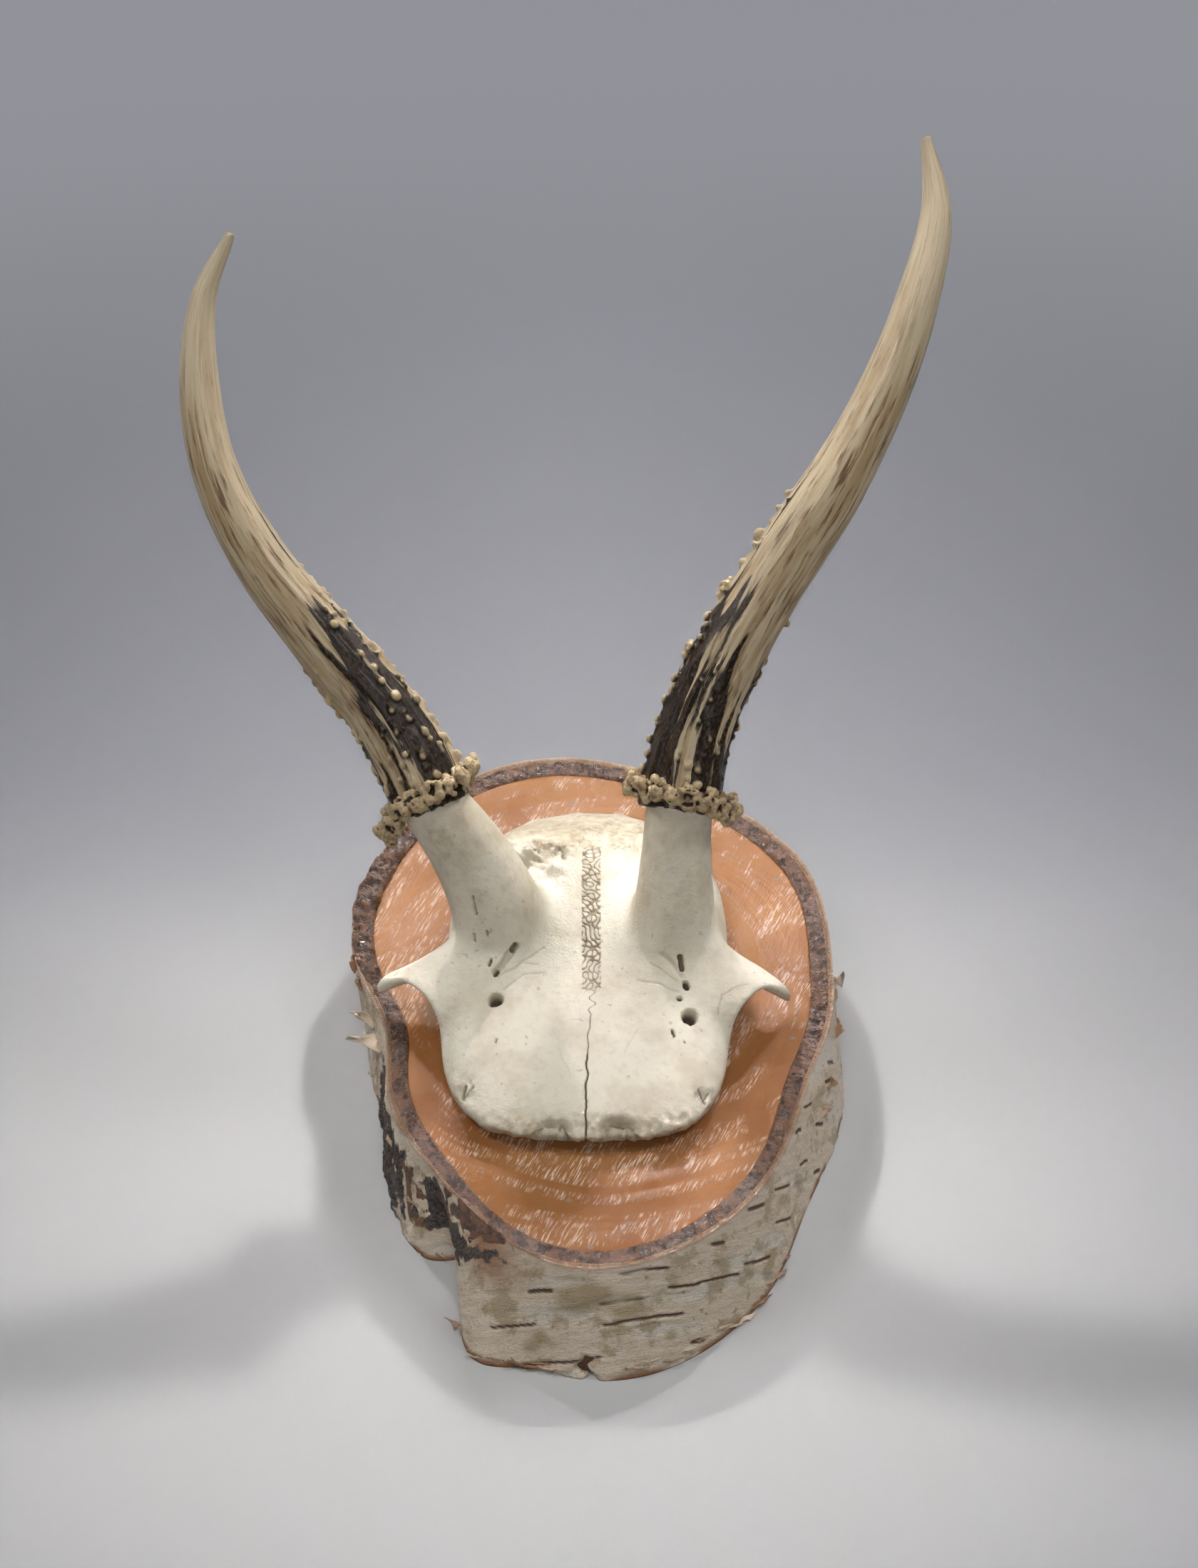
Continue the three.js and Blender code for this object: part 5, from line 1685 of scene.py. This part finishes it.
class TROPHY_OT_skull_cap(bpy.types.Operator):
    """Model the skull cap with its pedicles"""
    bl_idname = "trophy.skull_cap"
    bl_label = "Skull Cap"

    def execute(self, context):
        looks = context.scene.trophy_skull
        nodes = ("frontal_left", "frontal_right", "parietals")
        finish_piece(skull_mesh(looks), "skull_cap", bone_material(looks), "bone", *nodes)
        return {"FINISHED"}


class TROPHY_OT_antlers(bpy.types.Operator):
    """Model both antlers and their burrs"""
    bl_idname = "trophy.antlers"
    bl_label = "Antlers"

    def execute(self, context):
        looks = context.scene.trophy_antler
        beam_look, burr_look = antler_material(looks), burr_material(looks)
        for antler in ANTLERS:
            side = antler["side"]
            beam = beam_mesh(antler, looks)
            nodes = (f"antler_{side}_lower", f"antler_{side}_upper")
            finish_piece(beam, f"antler_{side}", beam_look, "antler_pale", *nodes)
            burr = burr_mesh(antler, looks)
            finish_piece(burr, f"burr_{side}", burr_look, "burr", f"antler_{side}_burr")
        return {"FINISHED"}


class TROPHY_OT_stage(bpy.types.Operator):
    """Lay the floor and set the lights and the camera"""
    bl_idname = "trophy.stage"
    bl_label = "Stage"

    def execute(self, context):
        looks = context.scene.trophy_stage
        bm = bmesh.new()
        bmesh.ops.create_grid(bm, x_segments=8, y_segments=8, size=6.0)
        floor = bpy.data.objects.new("floor", mesh_of(bm, "floor"))
        context.scene.collection.objects.link(floor)
        floor.data.materials.append(floor_material(looks))
        world = bpy.data.worlds.new("studio")
        world.use_nodes = True
        world.node_tree.nodes["Background"].inputs["Color"].default_value = (0.96, 0.98, 1.0, 1)
        world.node_tree.nodes["Background"].inputs["Strength"].default_value = looks.air
        context.scene.world = world
        for hand, sign in (("left", -1), ("right", 1)):
            # Each key light is gridded and aimed past the object at the far side of the floor.
            place, far_side = (0.47 * sign, 1.29, 0.92), (-0.09 * sign, -0.06, 0)
            self.add_light("key_" + hand, place, far_side, (0.16, 0.1), looks.key, looks.beam)
            place = (1.15 * sign, 0.55, 1.35)
            self.add_light("side_" + hand, place, OBJECT_PLACE, (0.6, 0.6), looks.side)
        self.add_light("fill_front", (-0.1, -1.35, 1.35), OBJECT_PLACE, (1.2, 0.8), looks.fill)
        self.add_light("top_soft", (0, -0.1, 1.8), (0, 0, 0), (1.0, 0.6), looks.top)
        camera = bpy.data.cameras.new("camera")
        camera.lens = LENS
        camera.clip_start, camera.clip_end = 0.05, 30
        holder = bpy.data.objects.new("camera", camera)
        holder.location = CAMERA_PLACE
        holder.rotation_euler = (radians(CAMERA_PITCH), 0, 0)
        context.scene.collection.objects.link(holder)
        context.scene.camera = holder
        context.scene.view_settings.view_transform = "Standard"
        return {"FINISHED"}

    @staticmethod
    def add_light(name, place, aim, size, power, beam=pi):
        light = bpy.data.lights.new(name, "AREA")
        light.shape = "ELLIPSE"
        light.size, light.size_y = size
        light.energy = power
        light.spread = beam
        holder = bpy.data.objects.new(name, light)
        holder.location = place
        holder.rotation_euler = (Vector(aim) - Vector(place)).to_track_quat("-Z", "Y").to_euler()
        bpy.context.scene.collection.objects.link(holder)


class TROPHY_PT_panel(bpy.types.Panel):
    """The trophy's pieces and their settings"""
    bl_idname = "TROPHY_PT_panel"
    bl_label = "Roe Buck Trophy"
    bl_space_type = "VIEW_3D"
    bl_region_type = "UI"
    bl_category = "Trophy"

    def draw(self, context):
        for settings, operators in STEPS:
            box = self.layout.box()
            for operator in operators:
                box.operator(operator.bl_idname)
            group = getattr(context.scene, settings)
            for name in group.bl_rna.properties.keys():
                if name not in {"rna_type", "name"}:
                    box.prop(group, name)


STEPS = [
    ("trophy_slice", (TROPHY_OT_slice_wood, TROPHY_OT_inner_bark, TROPHY_OT_outer_bark)),
    ("trophy_skull", (TROPHY_OT_skull_cap,)),
    ("trophy_antler", (TROPHY_OT_antlers,)),
    ("trophy_stage", (TROPHY_OT_stage,)),
]
SETTINGS = {
    "trophy_slice": SliceSettings,
    "trophy_skull": SkullSettings,
    "trophy_antler": AntlerSettings,
    "trophy_stage": StageSettings,
}


def classes():
    return [*SETTINGS.values(), *(operator for _, row in STEPS for operator in row), TROPHY_PT_panel]


def register():
    for item in classes():
        bpy.utils.register_class(item)
    for name, group in SETTINGS.items():
        setattr(bpy.types.Scene, name, PointerProperty(type=group))


def unregister():
    for name in SETTINGS:
        delattr(bpy.types.Scene, name)
    for item in reversed(classes()):
        bpy.utils.unregister_class(item)


def main():
    register()
    bpy.ops.trophy.slice_wood()
    bpy.ops.trophy.inner_bark()
    bpy.ops.trophy.outer_bark()
    bpy.ops.trophy.skull_cap()
    bpy.ops.trophy.antlers()
    bpy.ops.trophy.stage()


if __name__ == "__main__":
    main()
